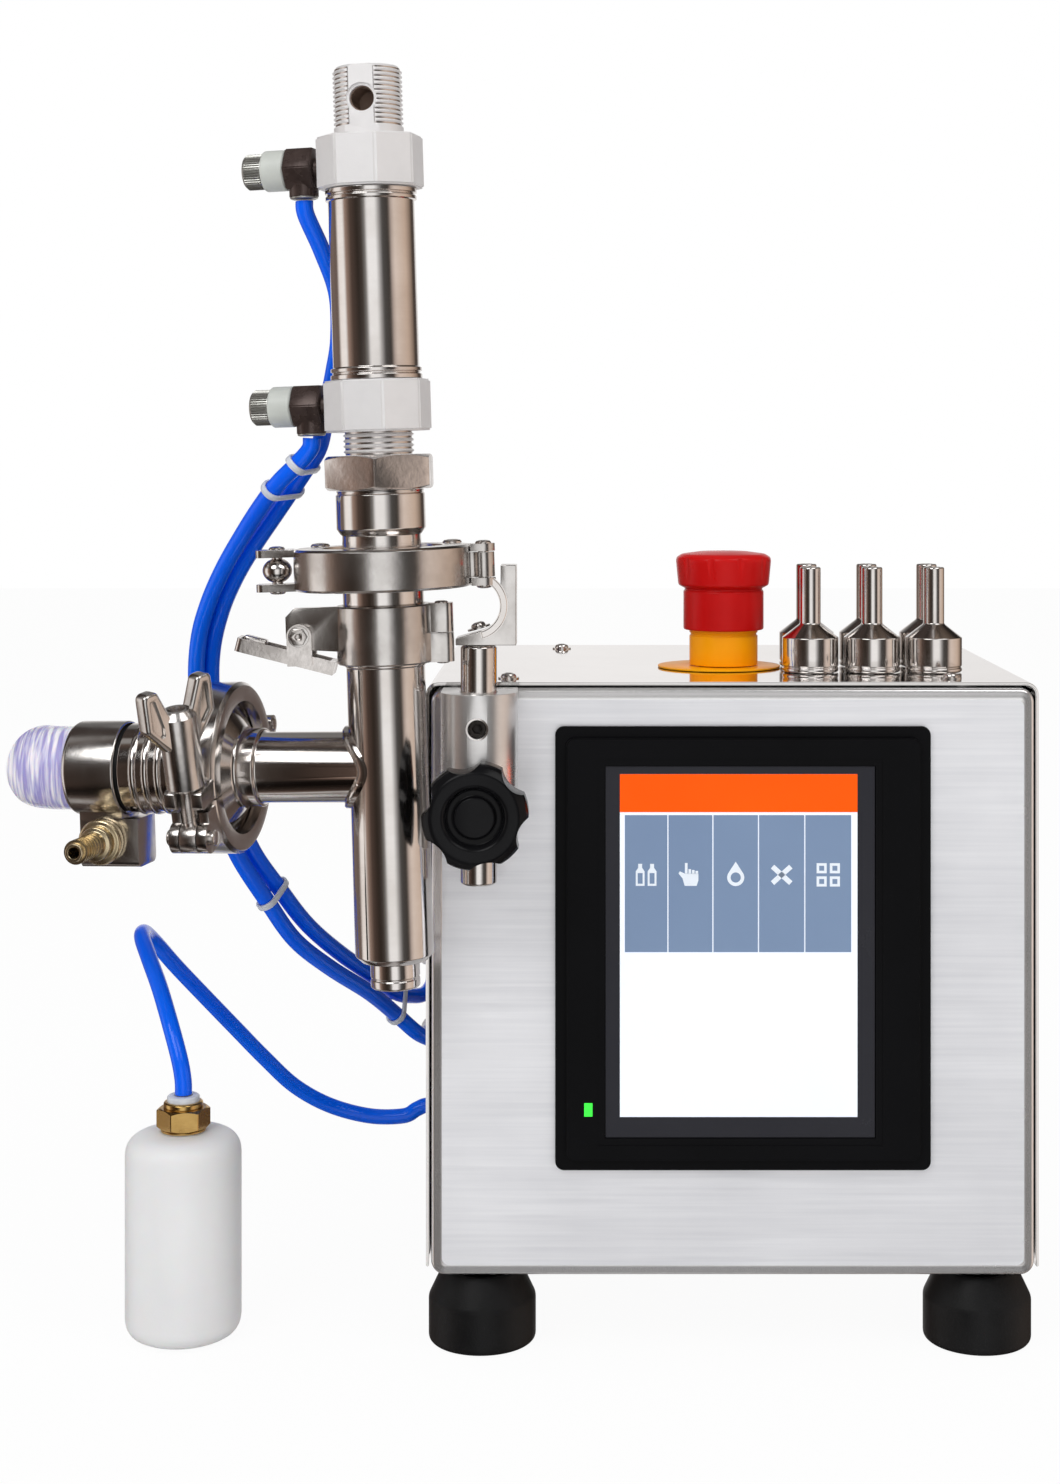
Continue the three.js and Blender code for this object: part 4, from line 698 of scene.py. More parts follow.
def turnedPiece(name, profile, finishName, body, frameMatrix, stands=(), ease=0.4, sides=96):
    softened = eased(profile, ease) if ease else profile
    piece = newPiece(name, meshOf(turned(softened, sides), frameMatrix))
    return settle(piece, finishName, body, stands)


# Joins closed meshes, cuts others out and rounds the edges that result
def fused(parts, cuts=(), edge=0.4, segments=2, angle=32):
    mesh = combined(parts[0], parts[1:], "UNION") if len(parts) > 1 else parts[0]
    if cuts:
        mesh = combined(mesh, cuts)
    if not edge:
        return mesh
    shape = bmesh.new()
    shape.from_mesh(mesh)
    bmesh.ops.remove_doubles(shape, verts=shape.verts, dist=0.00001)
    return bevelled(shape, edge, segments, angle)


def meshPiece(name, mesh, finishName, body, frameMatrix, stands=(), sharp=32):
    mesh.transform(frameMatrix)
    return settle(newPiece(name, mesh), finishName, body, stands, sharp)


def shapedPiece(name, shape, finishName, body, frameMatrix, stands=(), sharp=32):
    return meshPiece(name, meshOf(shape), finishName, body, frameMatrix, stands, sharp)


def fusedPiece(name, finishName, node, frameMatrix, parts, cuts=(), edge=0.4, sharp=34, **more):
    return meshPiece(name, fused(parts, cuts, edge, **more), finishName, bodyOf(node),
                     frameMatrix, [node], sharp)


# Touch panel: picture bar, five tiles with plain pictograms, an empty field and a lamp
screen = {
    "front": -6.1, "sheet": 0.12, "left": 15.4, "right": 123.2, "bottom": 111.6, "top": 267.2,
    "barBottom": 249.9, "tileTop": 248.6, "tileBottom": 186.4, "tileLeft": 17.4,
    "tileRight": 120.6, "dividers": [37.2, 57.6, 78.3, 99.3], "dividerWidth": 0.5,
    "markHeight": 221.5, "lamp": (-0.9, 3.1, 111.9, 118.2), "lampDepth": (6.4, 7.05),
}
towardFront = Matrix.Rotation(math.radians(90), 4, "X")
towardSide = Matrix.Rotation(math.radians(90), 4, "Y")
facing = standing(0, 0, 0) @ towardFront


# A flat shape drawn in X and Z, standing proud of the screen towards the front
def drawn(outlines, lift, thick):
    whole = bmesh.new()
    for outline in outlines:
        part = prism(outline, -screen["front"] + lift, -screen["front"] + lift + thick, 0)
        mesh = meshOf(part)
        whole.from_mesh(mesh)
        bpy.data.meshes.remove(mesh)
    return whole


def rectangle(x0, x1, z0, z1):
    return [(x0, z0), (x1, z0), (x1, z1), (x0, z1)]


def disc(x, z, radius, sides=28, start=0, end=360):
    return [(x + radius * math.cos(math.radians(start + (end - start) * i / sides)),
             z + radius * math.sin(math.radians(start + (end - start) * i / sides)))
            for i in range(sides if end - start == 360 else sides + 1)]


def moved(outline, x, z, turn=0):
    c, s = math.cos(math.radians(turn)), math.sin(math.radians(turn))
    return [(x + a * c - b * s, z + a * s + b * c) for a, b in outline]


def pictograms():
    edges = [screen["tileLeft"], *screen["dividers"], screen["tileRight"]]
    centres = [(a + b) / 2 for a, b in zip(edges, edges[1:])]
    z = screen["markHeight"]
    jar = [(-2, -5), (2, -5), (2, 1.6), (0.9, 3.2), (0.9, 5), (-0.9, 5), (-0.9, 3.2), (-2, 1.6)]
    marks = [moved(jar, centres[0] + dx, z) for dx in (-2.7, 2.7)]
    palm = [(-2.6, -5), (2.8, -5), (3.6, -2.6), (3.6, 0.6), (-2.6, 0.6), (-4.8, 1.6),
            (-5.4, 0.6), (-3.6, -1.6)]
    marks.append(moved(palm, centres[1], z))
    for i, tall in enumerate((5.4, 2.6, 2.2, 1.8)):
        marks.append(rectangle(centres[1] - 2.5 + 1.6 * i, centres[1] - 1.3 + 1.6 * i,
                               z + 0.4, z + tall))
    drop = [(0, 6)] + disc(0, -1.2, 3.9, 20, 30, -210)
    marks.append(moved(drop, centres[2], z))
    marks += [moved(rectangle(-5.6, 5.6, -1.15, 1.15), centres[3], z, turn)
              for turn in (42, -42)]
    corners = [(centres[4] + dx, z + dz) for dx in (-3, 3) for dz in (-3, 3)]
    marks += [rectangle(x - 2.3, x + 2.3, y - 2.3, y + 2.3) for x, y in corners]
    holes = [moved(disc(0, -1.2, 2.3, 20), centres[2], z)]
    holes += [rectangle(x - 1.1, x + 1.1, y - 1.1, y + 1.1) for x, y in corners]
    for dx in (-2.7, 2.7):
        holes.append(rectangle(centres[0] + dx - 1.1, centres[0] + dx + 1.1, z - 4, z + 0.8))
    return marks, holes


def buildScreen():
    thin = screen["sheet"]
    field = [rectangle(screen["left"], screen["right"], screen["bottom"], screen["top"])]
    shapedPiece("screen_field", drawn(field, 0, thin), "screenPale", "cabinet", facing)
    bar = [rectangle(screen["left"], screen["right"], screen["barBottom"], screen["top"])]
    shapedPiece("screen_bar", drawn(bar, thin, thin / 2), "screenOrange", "cabinet", facing)
    tiles = [rectangle(a + screen["dividerWidth"] / 2, b - screen["dividerWidth"] / 2,
                       screen["tileBottom"], screen["tileTop"])
             for a, b in zip([screen["tileLeft"], *screen["dividers"]],
                             [*screen["dividers"], screen["tileRight"]])]
    shapedPiece("screen_tiles", drawn(tiles, thin, thin / 2), "screenSlate", "cabinet", facing)
    marks, holes = pictograms()
    shapedPiece("screen_marks", drawn(marks, 1.5 * thin, thin / 2), "screenWhite", "cabinet",
                facing)
    shapedPiece("screen_mark_gaps", drawn(holes, 2 * thin, thin / 2), "screenSlate", "cabinet",
                facing)
    x0, x1, z0, z1 = screen["lamp"]
    lamp = prism(rectangle(x0, x1, z0, z1), *screen["lampDepth"], 0.12)
    shapedPiece("panel_lamp", lamp, "greenLamp", "cabinet", facing)


buildScreen()

# Panel frame: an outer lip, a step, a flat face and a chamfered window
bezel = {"x": (-14, 157), "z": (86.4, 288.4), "lip": 3.4, "face": 7, "step": 5, "corner": 4,
         "window": (8.6, 131.4, 102, 271), "groove": (3.2, 6.72)}


def roundedOutline(x0, x1, z0, z1, radius, steps=8):
    outline = []
    for cx, cz, start in ((x1 - radius, z0 + radius, -90), (x1 - radius, z1 - radius, 0),
                          (x0 + radius, z1 - radius, 90), (x0 + radius, z0 + radius, 180)):
        outline += [(cx + radius * math.cos(math.radians(start + 90 * i / steps)),
                     cz + radius * math.sin(math.radians(start + 90 * i / steps)))
                    for i in range(steps + 1)]
    return outline


def windowCut(low, high):
    return meshOf(prism(rectangle(*bezel["window"]), low, high, 0))


def buildBezel():
    (x0, x1), (z0, z1), step = bezel["x"], bezel["z"], bezel["step"]
    lip = prism(roundedOutline(x0, x1, z0, z1, bezel["corner"]), 0.3, bezel["lip"], 0.5, 3)
    face = prism(roundedOutline(x0 + step, x1 - step, z0 + step, z1 - step, bezel["corner"]),
                 0.5, bezel["face"], 0.6, 3)
    a, b, c, d = bezel["window"]
    out, floor = bezel["groove"]
    groove = meshOf(prism(rectangle(a - out, b + out, c - out, d + out), floor, 20, 0))
    mesh = combined(meshOf(lip), [meshOf(face)], "UNION")
    meshPiece("panel_frame", combined(mesh, [windowCut(-2, 20), groove]), "bezelPlastic",
              "cabinet", facing, ["panel_bezel"])


buildBezel()
print("panel made")

# Air cylinder on the column, heights from the clamped joint
cylinder = {
    "barrel": [(17, 83.7), (20.4, 83.7), (20.4, 85.7), (19.5, 86.0), (19.5, 86.7), (20.3, 87.0),
               (20.3, 88.6), (19.2, 89.0), (19.2, 162.9), (20.3, 163.3), (20.3, 164.9),
               (19.5, 165.2), (19.5, 165.9), (20.4, 166.2), (20.4, 168.2), (17, 168.2)],
    "capFlats": 44.6, "capTurn": math.radians(22.5 - 12), "capEdge": 0.9,
    "lowerCap": (60.5, 83.4), "upperCap": (168.5, 191.7), "neck": (50.2, 60.5),
    "neckRadius": 15.7, "neckPitch": 2.4, "bossRadius": 15.5, "bossPitch": 2.05,
    "threadDepth": 0.85, "rootLift": 0.05, "boss": (191.7, 222.5), "bossCollar": 4.2,
    "bossFlat": 13.4,
    "bossTurn": math.radians(-8), "eyeHeight": 207.4, "eyeRadius": 5.6, "eyeSinkRadius": 6.9,
    "eyeSinkDepth": 1.1, "eyeBack": 6,
}


# Rings of a thread, one for each turn, to stand on a core of the root radius
def threadRings(radius, depth, pitch, low, high, finishName):
    root = radius - depth - 0.1
    foot, steps = 0.14 * pitch, 8
    wide = pitch - 2 * foot
    crest = [(radius - depth * (0.5 + 0.5 * math.cos(math.tau * i / steps)),
              foot + wide * i / steps) for i in range(steps, -1, -1)]
    tooth = turned([(root, foot), (root, foot + wide)] + crest, 72)
    count = int((high - low) / pitch)
    start = low + (high - low - count * pitch) / 2
    return repeated(rowTree, tooth, count, (0, 0, pitch), finishName,
                    Matrix.Translation((0, 0, start * mm)))


def buildCylinder():
    spec = cylinder
    turnedPiece("barrel", spec["barrel"], "polishedSteel", "carriage", columnFrame,
                ["cylinder_barrel"], 0.25, 128)
    outline = regular(8, spec["capFlats"], spec["capTurn"])
    for name, (low, high) in (("lower", spec["lowerCap"]), ("upper", spec["upperCap"])):
        shape = prism(outline, low, high, spec["capEdge"], 3)
        shapedPiece(f"{name}_cap_block", shape, "blastedAluminium", "carriage", columnFrame,
                    [f"cylinder_{name}_cap"], 40)
    depth = spec["threadDepth"]
    core = spec["neckRadius"] - depth
    low, high = spec["neck"]
    shapedPiece("cap_neck", rodShape(core, low, high, 96), "blastedAluminium", "carriage",
                columnFrame)
    # painted shade: a darker cast-steel sleeve just above the core shows in the gaps between the
    # thread turns
    core += spec["rootLift"]
    shapedPiece("cap_neck_root", tubeShape(core - 1, core, low, high, 72), "castSteel",
                "carriage", columnFrame)
    rings = threadRings(spec["neckRadius"], depth, spec["neckPitch"], low, high,
                        "blastedAluminium")
    meshPiece("cap_neck_thread", rings, "blastedAluminium", "carriage", columnFrame, (), 24)
    low, high = spec["boss"]
    full = spec["bossRadius"]
    core = full - depth
    collar = low + spec["bossCollar"]
    reach, flat = 20, spec["bossFlat"]
    turn = Matrix.Rotation(spec["bossTurn"], 4, "Z")
    lying = turn @ Matrix.Translation((0, 0, spec["eyeHeight"] * mm)) @ towardFront

    def cutters():
        tools = []
        for side in (-1, 1):
            y0, y1 = sorted((side * flat, side * reach))
            tools.append(meshOf(slab(-reach, reach, y0, y1, low + 0.6, high + 2, 0), turn))
        for near, wide in ((-spec["eyeBack"], spec["eyeRadius"]),
                           (flat - spec["eyeSinkDepth"], spec["eyeSinkRadius"])):
            tools.append(meshOf(rodShape(wide, near, reach, 48), lying))
        return tools

    blank = meshOf(turned([(0, low), (full, low), (full, collar - 0.4), (full - 0.4, collar),
                           (core, collar), (core, high - 1), (core - 0.9, high), (0, high)]))
    meshPiece("boss", combined(blank, cutters()), "blastedAluminium", "carriage", columnFrame,
              (), 30)
    # painted shade: a darker cast-steel sleeve just above the core shows in the gaps between the
    # thread turns
    core += spec["rootLift"]
    root = meshOf(tubeShape(core - 0.2, core, collar + 0.1, high - 1.1, 72))
    meshPiece("boss_thread_root", combined(root, cutters()), "castSteel", "carriage",
              columnFrame, (), 30)
    rings = threadRings(full, depth, spec["bossPitch"], collar + 0.2, high - 1,
                        "blastedAluminium")
    meshPiece("boss_thread", combined(rings, cutters()), "blastedAluminium", "carriage",
              columnFrame, (), 24)
    # painted shade: a brown sleeve lines the eye's bore
    wall = spec["eyeRadius"] - 0.05
    holeShadeLining = turned([(0, 0.1 - spec["eyeBack"]), (wall, 0.1 - spec["eyeBack"]), (wall, flat - 3),
                     (wall - 0.5, flat - 3), (wall - 0.5, 0.6 - spec["eyeBack"]),
                     (0, 0.6 - spec["eyeBack"])], 48)
    shapedPiece("boss_hole_lining", holeShadeLining, "brownHoleShade", "carriage", columnFrame @ lying)


buildCylinder()

# Valve: bonnet, big nut and the tee that the product flows through
valve = {
    "bonnet": [(0, 1), (32, 1), (32, 2.3), (27.5, 3.9), (17.6, 4.4), (17.6, 14.6), (18.2, 15.0),
               (19.9, 17.4), (19.9, 32.6), (19.3, 33.0), (19.3, 33.5), (19.7, 34.4), (0, 34.4)],
    "nut": {"flats": 46, "turn": 30, "z": (34.7, 50), "ends": (22.6, 26.9, 1.87), "edge": 0.3,
            "sides": 96},
    "stack": [(0, -170), (7.6, -170), (7.6, -187), (10.2, -187), (11, -186.2), (11, -183.2),
              (10.6, -182.8), (10.6, -182.2), (11, -181.8), (11, -175.2), (14.6, -175),
              (17.5, -172.2), (17.5, -44), (18.1, -43.6), (18.1, -4.4), (27.5, -3.9),
              (32, -2.3), (32, -1), (0, -1)],
    "pipe": [(0, 2), (15.85, 2), (15.85, 57.5), (16.5, 58.2), (17.6, 58.4), (17.6, 66.4),
             (18.4, 67.4), (27.4, 73.2), (32, 74.4), (32, 76), (0, 76)],
    "weld": 2.6, "tubeRadius": 17.5, "pipeRadius": 15.85, "nutEdge": 0.45,
}


# A hexagon with its corners turned off at both ends
def hexNut(flats, turn, z, ends, edge, sides):
    (low, high), (flat, corner, dip) = z, ends
    lens = [(0, low), (flat, low), (corner, low + dip), (corner, high - dip), (flat, high),
            (0, high)]
    return combined(meshOf(prism(regular(6, flats, math.radians(turn)), low, high, edge)),
                    [meshOf(turned(lens, sides))], "INTERSECT")


def buildValve():
    turnedPiece("bonnet", valve["bonnet"], "polishedSteel", "carriage", columnFrame,
                ["valve_bonnet"], 0.3, 128)
    fusedPiece("big_nut", "castSteel", "cylinder_nut", columnFrame, [hexNut(**valve["nut"])],
               edge=valve["nutEdge"], sharp=26, segments=3, angle=24)
    toColumn = columnFrame.inverted() @ branchFrame
    mesh = combined(meshOf(turned(eased(valve["stack"], 0.4), 128)),
                    [meshOf(turned(eased(valve["pipe"], 0.4), 128), toColumn)], "UNION")
    shape = bmesh.new()
    shape.from_mesh(mesh)
    bmesh.ops.remove_doubles(shape, verts=shape.verts, dist=0.00001)
    seam = []
    inverse = toColumn.inverted()
    for edge in shape.edges:
        middle = (edge.verts[0].co + edge.verts[1].co) / 2
        onPipe = (inverse @ middle).xy.length
        onTube = middle.xy.length
        atSeam = (abs(onPipe - valve["pipeRadius"] * mm) < 0.05 * mm
                  and abs(onTube - valve["tubeRadius"] * mm) < 0.12 * mm)
        if atSeam and edge.calc_face_angle(0) > math.radians(8):
            seam.append(edge)
    bmesh.ops.bevel(shape, geom=seam, offset=valve["weld"] * mm, segments=5, affect="EDGES",
                    clamp_overlap=False)
    settle(newPiece("valve_tee", meshOf(shape, columnFrame)), "polishedSteel", "carriage",
           ["valve_body"], 30)


buildValve()
print("cylinder and valve made")

# Three-piece ring clamp between the cylinder and the valve
valveClamp = {
    "ring": [(27, -9.3), (38.3, -9.3), (39.4, -8.2), (39.4, 8.2), (38.3, 9.3), (27, 9.3),
             (27, 4), (32.6, 4), (32.6, -4), (27, -4)],
    "plates": ((5.9, 9.3), (-9.3, -5.9)), "split": 0.4, "reach": 56, "root": 36, "side": 6.5,
    "ball": (46.9, 5.6, 6.6), "hinge": (45.1, 5.2), "roller": 4.9, "rollerHalf": 5.5,
    "pin": (2.4, 3.6, 1.5), "rivet": (-30, 22, 4.4, 1.6),
}


def halfRing(profile, x0, x1, y0, y1, half):
    ringMesh = meshOf(turned(profile, 128))
    return combined(ringMesh, [meshOf(slab(x0, x1, y0, y1, -half, half, 0))], "INTERSECT")


def buildValveClamp():
    spec = valveClamp
    split, reach, side = spec["split"], spec["reach"], spec["side"]
    front = [halfRing(spec["ring"], -41, 41, -41, -split, 12)]
    for z0, z1 in spec["plates"]:
        tip = rounded([(-reach, -side), (-spec["root"], -side), (-spec["root"], -split),
                       (-39.8, -split), (-39.8, side), (-reach, side)], (0, 5), 3.2)
        front.append(meshOf(prism(tip, z0, z1, 0)))
    hinge, lobe = spec["hinge"]
    half = spec["rollerHalf"]
    front.append(meshOf(rodShape(spec["roller"], -half, half), shifted(hinge, 0, 0)))
    front.append(meshOf(slab(34, hinge, -2.6, -split, -half, half, 0)))
    fusedPiece("clamp_front", "satinSteel", "valve_clamp_front", columnFrame, front, edge=0.7,
               segments=3)
    rear = [halfRing(spec["ring"], -41, 41, split, 41, 12)]
    for z0, z1 in spec["plates"]:
        rear.append(meshOf(rodShape(lobe, z0, z1), shifted(hinge, 0, 0)))
        rear.append(meshOf(slab(spec["root"], hinge, split, lobe, z0, z1, 0)))
        rear.append(meshOf(slab(39.7, hinge, -lobe, split + 1, z0, z1, 0)))
    fusedPiece("clamp_rear", "satinSteel", "valve_clamp_rear", columnFrame, rear, edge=0.7,
               segments=3)
    offset, radius, wide = spec["ball"]
    ball = turned([(wide * math.sin(math.pi * i / 24), -radius * math.cos(math.pi * i / 24))
                   for i in range(25)], 48)
    shapedPiece("clamp_ball", ball, "polishedSteel", bodyOf("valve_clamp_ball"),
                columnFrame @ shifted(-offset, 0, 0), ["valve_clamp_ball"])
    pins = pinShape(*spec["pin"], 9.3)
    shapedPiece("clamp_ball_pin", pins, "castSteel", bodyOf("valve_clamp_front"),
                columnFrame @ shifted(-offset, 0, 0))
    shapedPiece("clamp_hinge_pin", pinShape(*spec["pin"], 9.3), "castSteel",
                bodyOf("valve_clamp_front"), columnFrame @ shifted(hinge, 0, 0))
    x, y, radius, rise = spec["rivet"]
    repeatedPiece("clamp_rivets", rowTree, turned(domed(radius, 0, rise), 40), 2, (-2 * x, 0, 0),
                  "castSteel", columnFrame @ shifted(x, y, 9.3),
                  bodyOf("valve_clamp_rear"))


# Rounds the numbered corners of an outline
def rounded(outline, corners, radius):
    points, steps = [], 6
    for i, (x, y) in enumerate(outline):
        if i not in corners:
            points.append((x, y))
            continue
        here = Vector((x, y))
        a = (Vector(outline[i - 1]) - here).normalized()
        b = (Vector(outline[(i + 1) % len(outline)]) - here).normalized()
        cut = radius / math.tan(a.angle(b) / 2)
        start, end = here + a * cut, here + b * cut
        centre = here + (a + b).normalized() * (radius / math.sin(a.angle(b) / 2))
        first, last = start - centre, end - centre
        sweep = first.angle_signed(last)
        for k in range(steps + 1):
            turnBy = -sweep * k / steps
            c, s = math.cos(turnBy), math.sin(turnBy)
            points.append((centre.x + first.x * c - first.y * s,
                           centre.y + first.x * s + first.y * c))
    return points


buildValveClamp()

# Band clamp under it, with a latch plate, a cam lever and two knuckles
bandClamp = {
    "top": -16.5, "bottom": -42.6, "bore": 18.4, "radius": 21.4, "knuckle": (25.6, 5.2),
    "plate": (-8, -5), "plateRoot": 18.6, "plateBottom": -36.5, "pin": (-37, -29), "lobe": 6,
    "corner": 4,
    "lever": {"near": (-22.3, -44), "tilt": 16, "length": 45, "half": 8, "thick": 6, "wall": 1.5},
    "ears": (8.3, 11.3), "earRadius": 5.4, "bolt": (3.6, 1.6), "tab": (13, 3.2),
}


def buildBandClamp():
    spec = bandClamp
    top, bottom, bore, outer = spec["top"], spec["bottom"], spec["bore"], spec["radius"]
    middle = (top + bottom) / 2
    band = [(bore, bottom), (outer - 0.7, bottom), (outer, bottom + 0.7), (outer, top - 0.7),
            (outer - 0.7, top), (bore, top)]
    x, radius = spec["knuckle"]
    pinX, pinZ = spec["pin"]
    for name, node, y0, y1, low, high in (
            ("front", "band_clamp_front", -24, -0.4, bottom, middle - 0.2),
            ("rear", "band_clamp_rear", 0.4, 24, middle + 0.2, top)):
        half = halfRing(band, -24, 24, y0, y1, 60)
        knuckle = meshOf(prism(rounded([(-radius, -radius), (radius, -radius), (radius, radius),
                                        (-radius, radius)], (1, 2), 3.4), low, high, 0),
                         shifted(x, 0, 0))
        web = meshOf(slab(bore + 1, x, *sorted((math.copysign(0.4, y0 + y1),
                                                math.copysign(radius, y0 + y1))), low, high, 0))
        parts = [half, knuckle, web]
        if name == "front":
            edgeX, corner = pinX - spec["lobe"], spec["corner"]
            lobe = disc(pinX, pinZ, spec["lobe"], 12, 180, 270)
            plate = [(-spec["plateRoot"], spec["plateBottom"]), (-spec["plateRoot"], top),
                     (edgeX + corner, top), (edgeX, top - corner), *lobe]
            parts.append(meshOf(prism(plate, -spec["plate"][1], -spec["plate"][0], 0),
                                towardFront))
        clear = meshOf(rodShape(radius + 0.5, middle + 0.2 if name == "front" else bottom - 2,
                                top + 2 if name == "front" else middle - 0.2), shifted(x, 0, 0))
        fusedPiece(f"band_{name}", "satinSteel", node, columnFrame, parts, [clear], edge=0.5)
    shapedPiece("band_hinge_pin", pinShape(2, 3, 1, (top - bottom) / 2), "castSteel",
                bodyOf("band_clamp_front"), columnFrame @ shifted(x, 0, middle))
    lever = spec["lever"]
    length, half, thick, wall = lever["length"], lever["half"], lever["thick"], lever["wall"]
    atLever = shifted(lever["near"][0], 0, lever["near"][1], lever["tilt"], "Y")
    channel = meshOf(prism(rounded([(-length, -half), (0, -half), (0, half), (-length, half)],
                                   (0, 3), 2.6), -thick / 2, thick / 2, 0), atLever)
    hollow = meshOf(slab(wall - length, -wall - 1, wall - half, half - wall, wall - thick / 2,
                         thick, 0), atLever)
    reach, tabHalf = spec["tab"]
    tab = meshOf(slab(2.4 - length, reach - length, -tabHalf, tabHalf, -1, 4.6, 0), atLever)
    parts = [channel]
    near, far = spec["ears"]
    for side in (-1, 1):
        y0, y1 = sorted((side * near, side * far))
        radius = spec["earRadius"]
        ear = disc(pinX, pinZ, radius, 18, 0, 180) + [
            (pinX - radius, lever["near"][1] + 5), (pinX + radius, lever["near"][1] + 5)]
        parts.append(meshOf(prism(ear, -y1, -y0, 0), towardFront))
        y0, y1 = sorted((side * (half - 2), side * far))
        parts.append(meshOf(slab(pinX - radius, pinX + radius, y0, y1, lever["near"][1] + 2,
                                 lever["near"][1] + 6, 0)))
    fusedPiece("band_lever", "castSteel", "band_clamp_lever", columnFrame, parts, [hollow],
               edge=0.4)
    body = bodyOf("band_clamp_lever")
    meshPiece("lever_tab", fused([tab], edge=1.2, segments=4), "castSteel", body, columnFrame)
    head, rise = spec["bolt"]
    across = columnFrame @ shifted(pinX, -far, pinZ, 90, "X")
    washer = turned(eased([(0, 0), (4.7, 0), (4.7, 0.7), (0, 0.7)], 0.2), 48)
    shapedPiece("lever_washer", washer, "satinSteel", body, across)
    nut = fused([meshOf(prism(regular(6, 2 * head), 0.6, 0.6 + rise, 0))],
                [meshOf(prism(regular(6, 2.6), 1.2, 4, 0))], 0.3)
    meshPiece("lever_bolt", nut, "castSteel", body, across)


buildBandClamp()
print("column clamps made")

# Ring clamp on the branch, with its swing bolt and wing nut
pipeClamp = {
    "ring": [(29.8, -9), (36.9, -9), (38.5, -7.4), (38.5, 7.4), (36.9, 9), (29.8, 9),
             (29.8, 4), (32.6, 4), (32.6, -4), (29.8, -4)],
    "split": 0.4, "lug": (-52, -35, 9, 8.5), "slot": 3.9, "bolt": (-46.5, 3.3, 14, 42),
    "eye": (6.8, 3.35, 3.7), "knuckles": ((4.2, 8.5), (-8.5, -4.2)), "pin": (3, 3.6, 1.2, 10.2),
    "hinge": (4.4, 42.5, 4.4), "hingePin": (2.2, 3, 1), "thread": (0.4, 1.1, -6.6, 9.1),
    "barrel": [(4, 9.3), (7.2, 9.3), (8.4, 10.5), (8.4, 42.3), (5.8, 45.3), (4, 45.3)],
    "wing": [(4, 28.3), (8.4, 28.3), (18.5, 40.3), (18.5, 57.3), (10.9, 57.3), (4.6, 42.3)],
    "pocket": [(9.6, 33.8), (15.7, 41.3), (15.7, 53.9), (12.9, 53.9), (9.6, 40.3)],
    "wingThick": 7.4, "pocketDepth": 1.7, "wingTurn": 60,
}


def buildPipeClamp():
    spec = pipeClamp
    split, (y0, y1, rise, wide) = spec["split"], spec["lug"]
    boltY, radius, drop, top = spec["bolt"]
    hingeX, hingeY, hingeRadius = spec["hinge"]
    slot = spec["slot"]
    lug = meshOf(prism(rounded([(split, y0), (rise, y0), (rise, y1), (split, y1)], (0, 1), 2.4),
                       -wide, wide, 0))
    notch = meshOf(slab(-1, rise + 3, y0 - 3, boltY + radius + 0.4, -slot, slot, 0))
    parts = [halfRing(spec["ring"], split, 42, -42, 42, 12), lug,
             meshOf(rodShape(hingeRadius, -9, 9, 40), shifted(hingeX, hingeY, 0)),
             meshOf(slab(split, hingeRadius, 35, hingeY, -9, 9, 0))]
    fusedPiece("pipe_clamp_top", "satinSteel", "pipe_clamp_upper", pipeClampFrame, parts, [notch],
               edge=0.6, segments=3)
    parts = [halfRing(spec["ring"], -42, -split, -42, 42, 12)]
    eyeRadius, eyeBore, eyeHalf = spec["eye"]
    for z0, z1 in spec["knuckles"]:
        parts.append(meshOf(rodShape(eyeRadius, z0, z1, 48), shifted(-drop, boltY, 0)))
        parts.append(meshOf(slab(-drop - eyeRadius, -split - 2, boltY, -33, z0, z1, 0)))
    fusedPiece("pipe_clamp_bottom", "satinSteel", "pipe_clamp_lower", pipeClampFrame, parts,
               edge=0.6, segments=3)
    body = bodyOf("pipe_clamp_upper")
    shapedPiece("pipe_clamp_pin", pinShape(*spec["pin"]), "castSteel", body,
                pipeClampFrame @ shifted(-drop, boltY, 0))
    shapedPiece("pipe_hinge_pin", pinShape(*spec["hingePin"], 9), "castSteel", body,
                pipeClampFrame @ shifted(hingeX, hingeY, 0))
    depth, pitch, low, high = spec["thread"]
    eye = meshOf(tubeShape(eyeBore, eyeRadius, -eyeHalf, eyeHalf, 48),
                 shifted(0, 0, -drop, 90, "Y"))
    shank = meshOf(rodShape(radius - depth, eyeBore + 0.6 - drop, top, 40))
    fusedPiece("swing_bolt", "castSteel", "pipe_clamp_bolt", boltFrame, [eye, shank], edge=0.4)
    rings = threadRings(radius, depth, pitch, low, high, "castSteel")
    meshPiece("swing_bolt_thread", rings, "castSteel", body, boltFrame, (), 24)
    parts = [meshOf(turned(spec["barrel"], 72))]
    half, deep, past = spec["wingThick"] / 2, spec["pocketDepth"], 1.3
    wing = rounded(spec["wing"], (2, 3, 4), 3)
    pocket = rounded(spec["pocket"], range(5), 1.3)
    for turnBy in (0, 180):
        hollows = [meshOf(prism(pocket, low, high, 0), towardFront)
                   for low, high in ((half - deep, half + past), (-half - past, deep - half))]
        prong = fused([meshOf(prism(wing, -half, half, 0), towardFront)], edge=1.9, segments=4)
        prong = combined(prong, hollows)
        prong.transform(Matrix.Rotation(math.radians(spec["wingTurn"] + turnBy), 4, "Z"))
        parts.append(prong)
    fusedPiece("wing_nut_body", "satinSteel", "pipe_clamp_wing_nut", boltFrame, parts, edge=0.5,
               segments=3, angle=40)


buildPipeClamp()

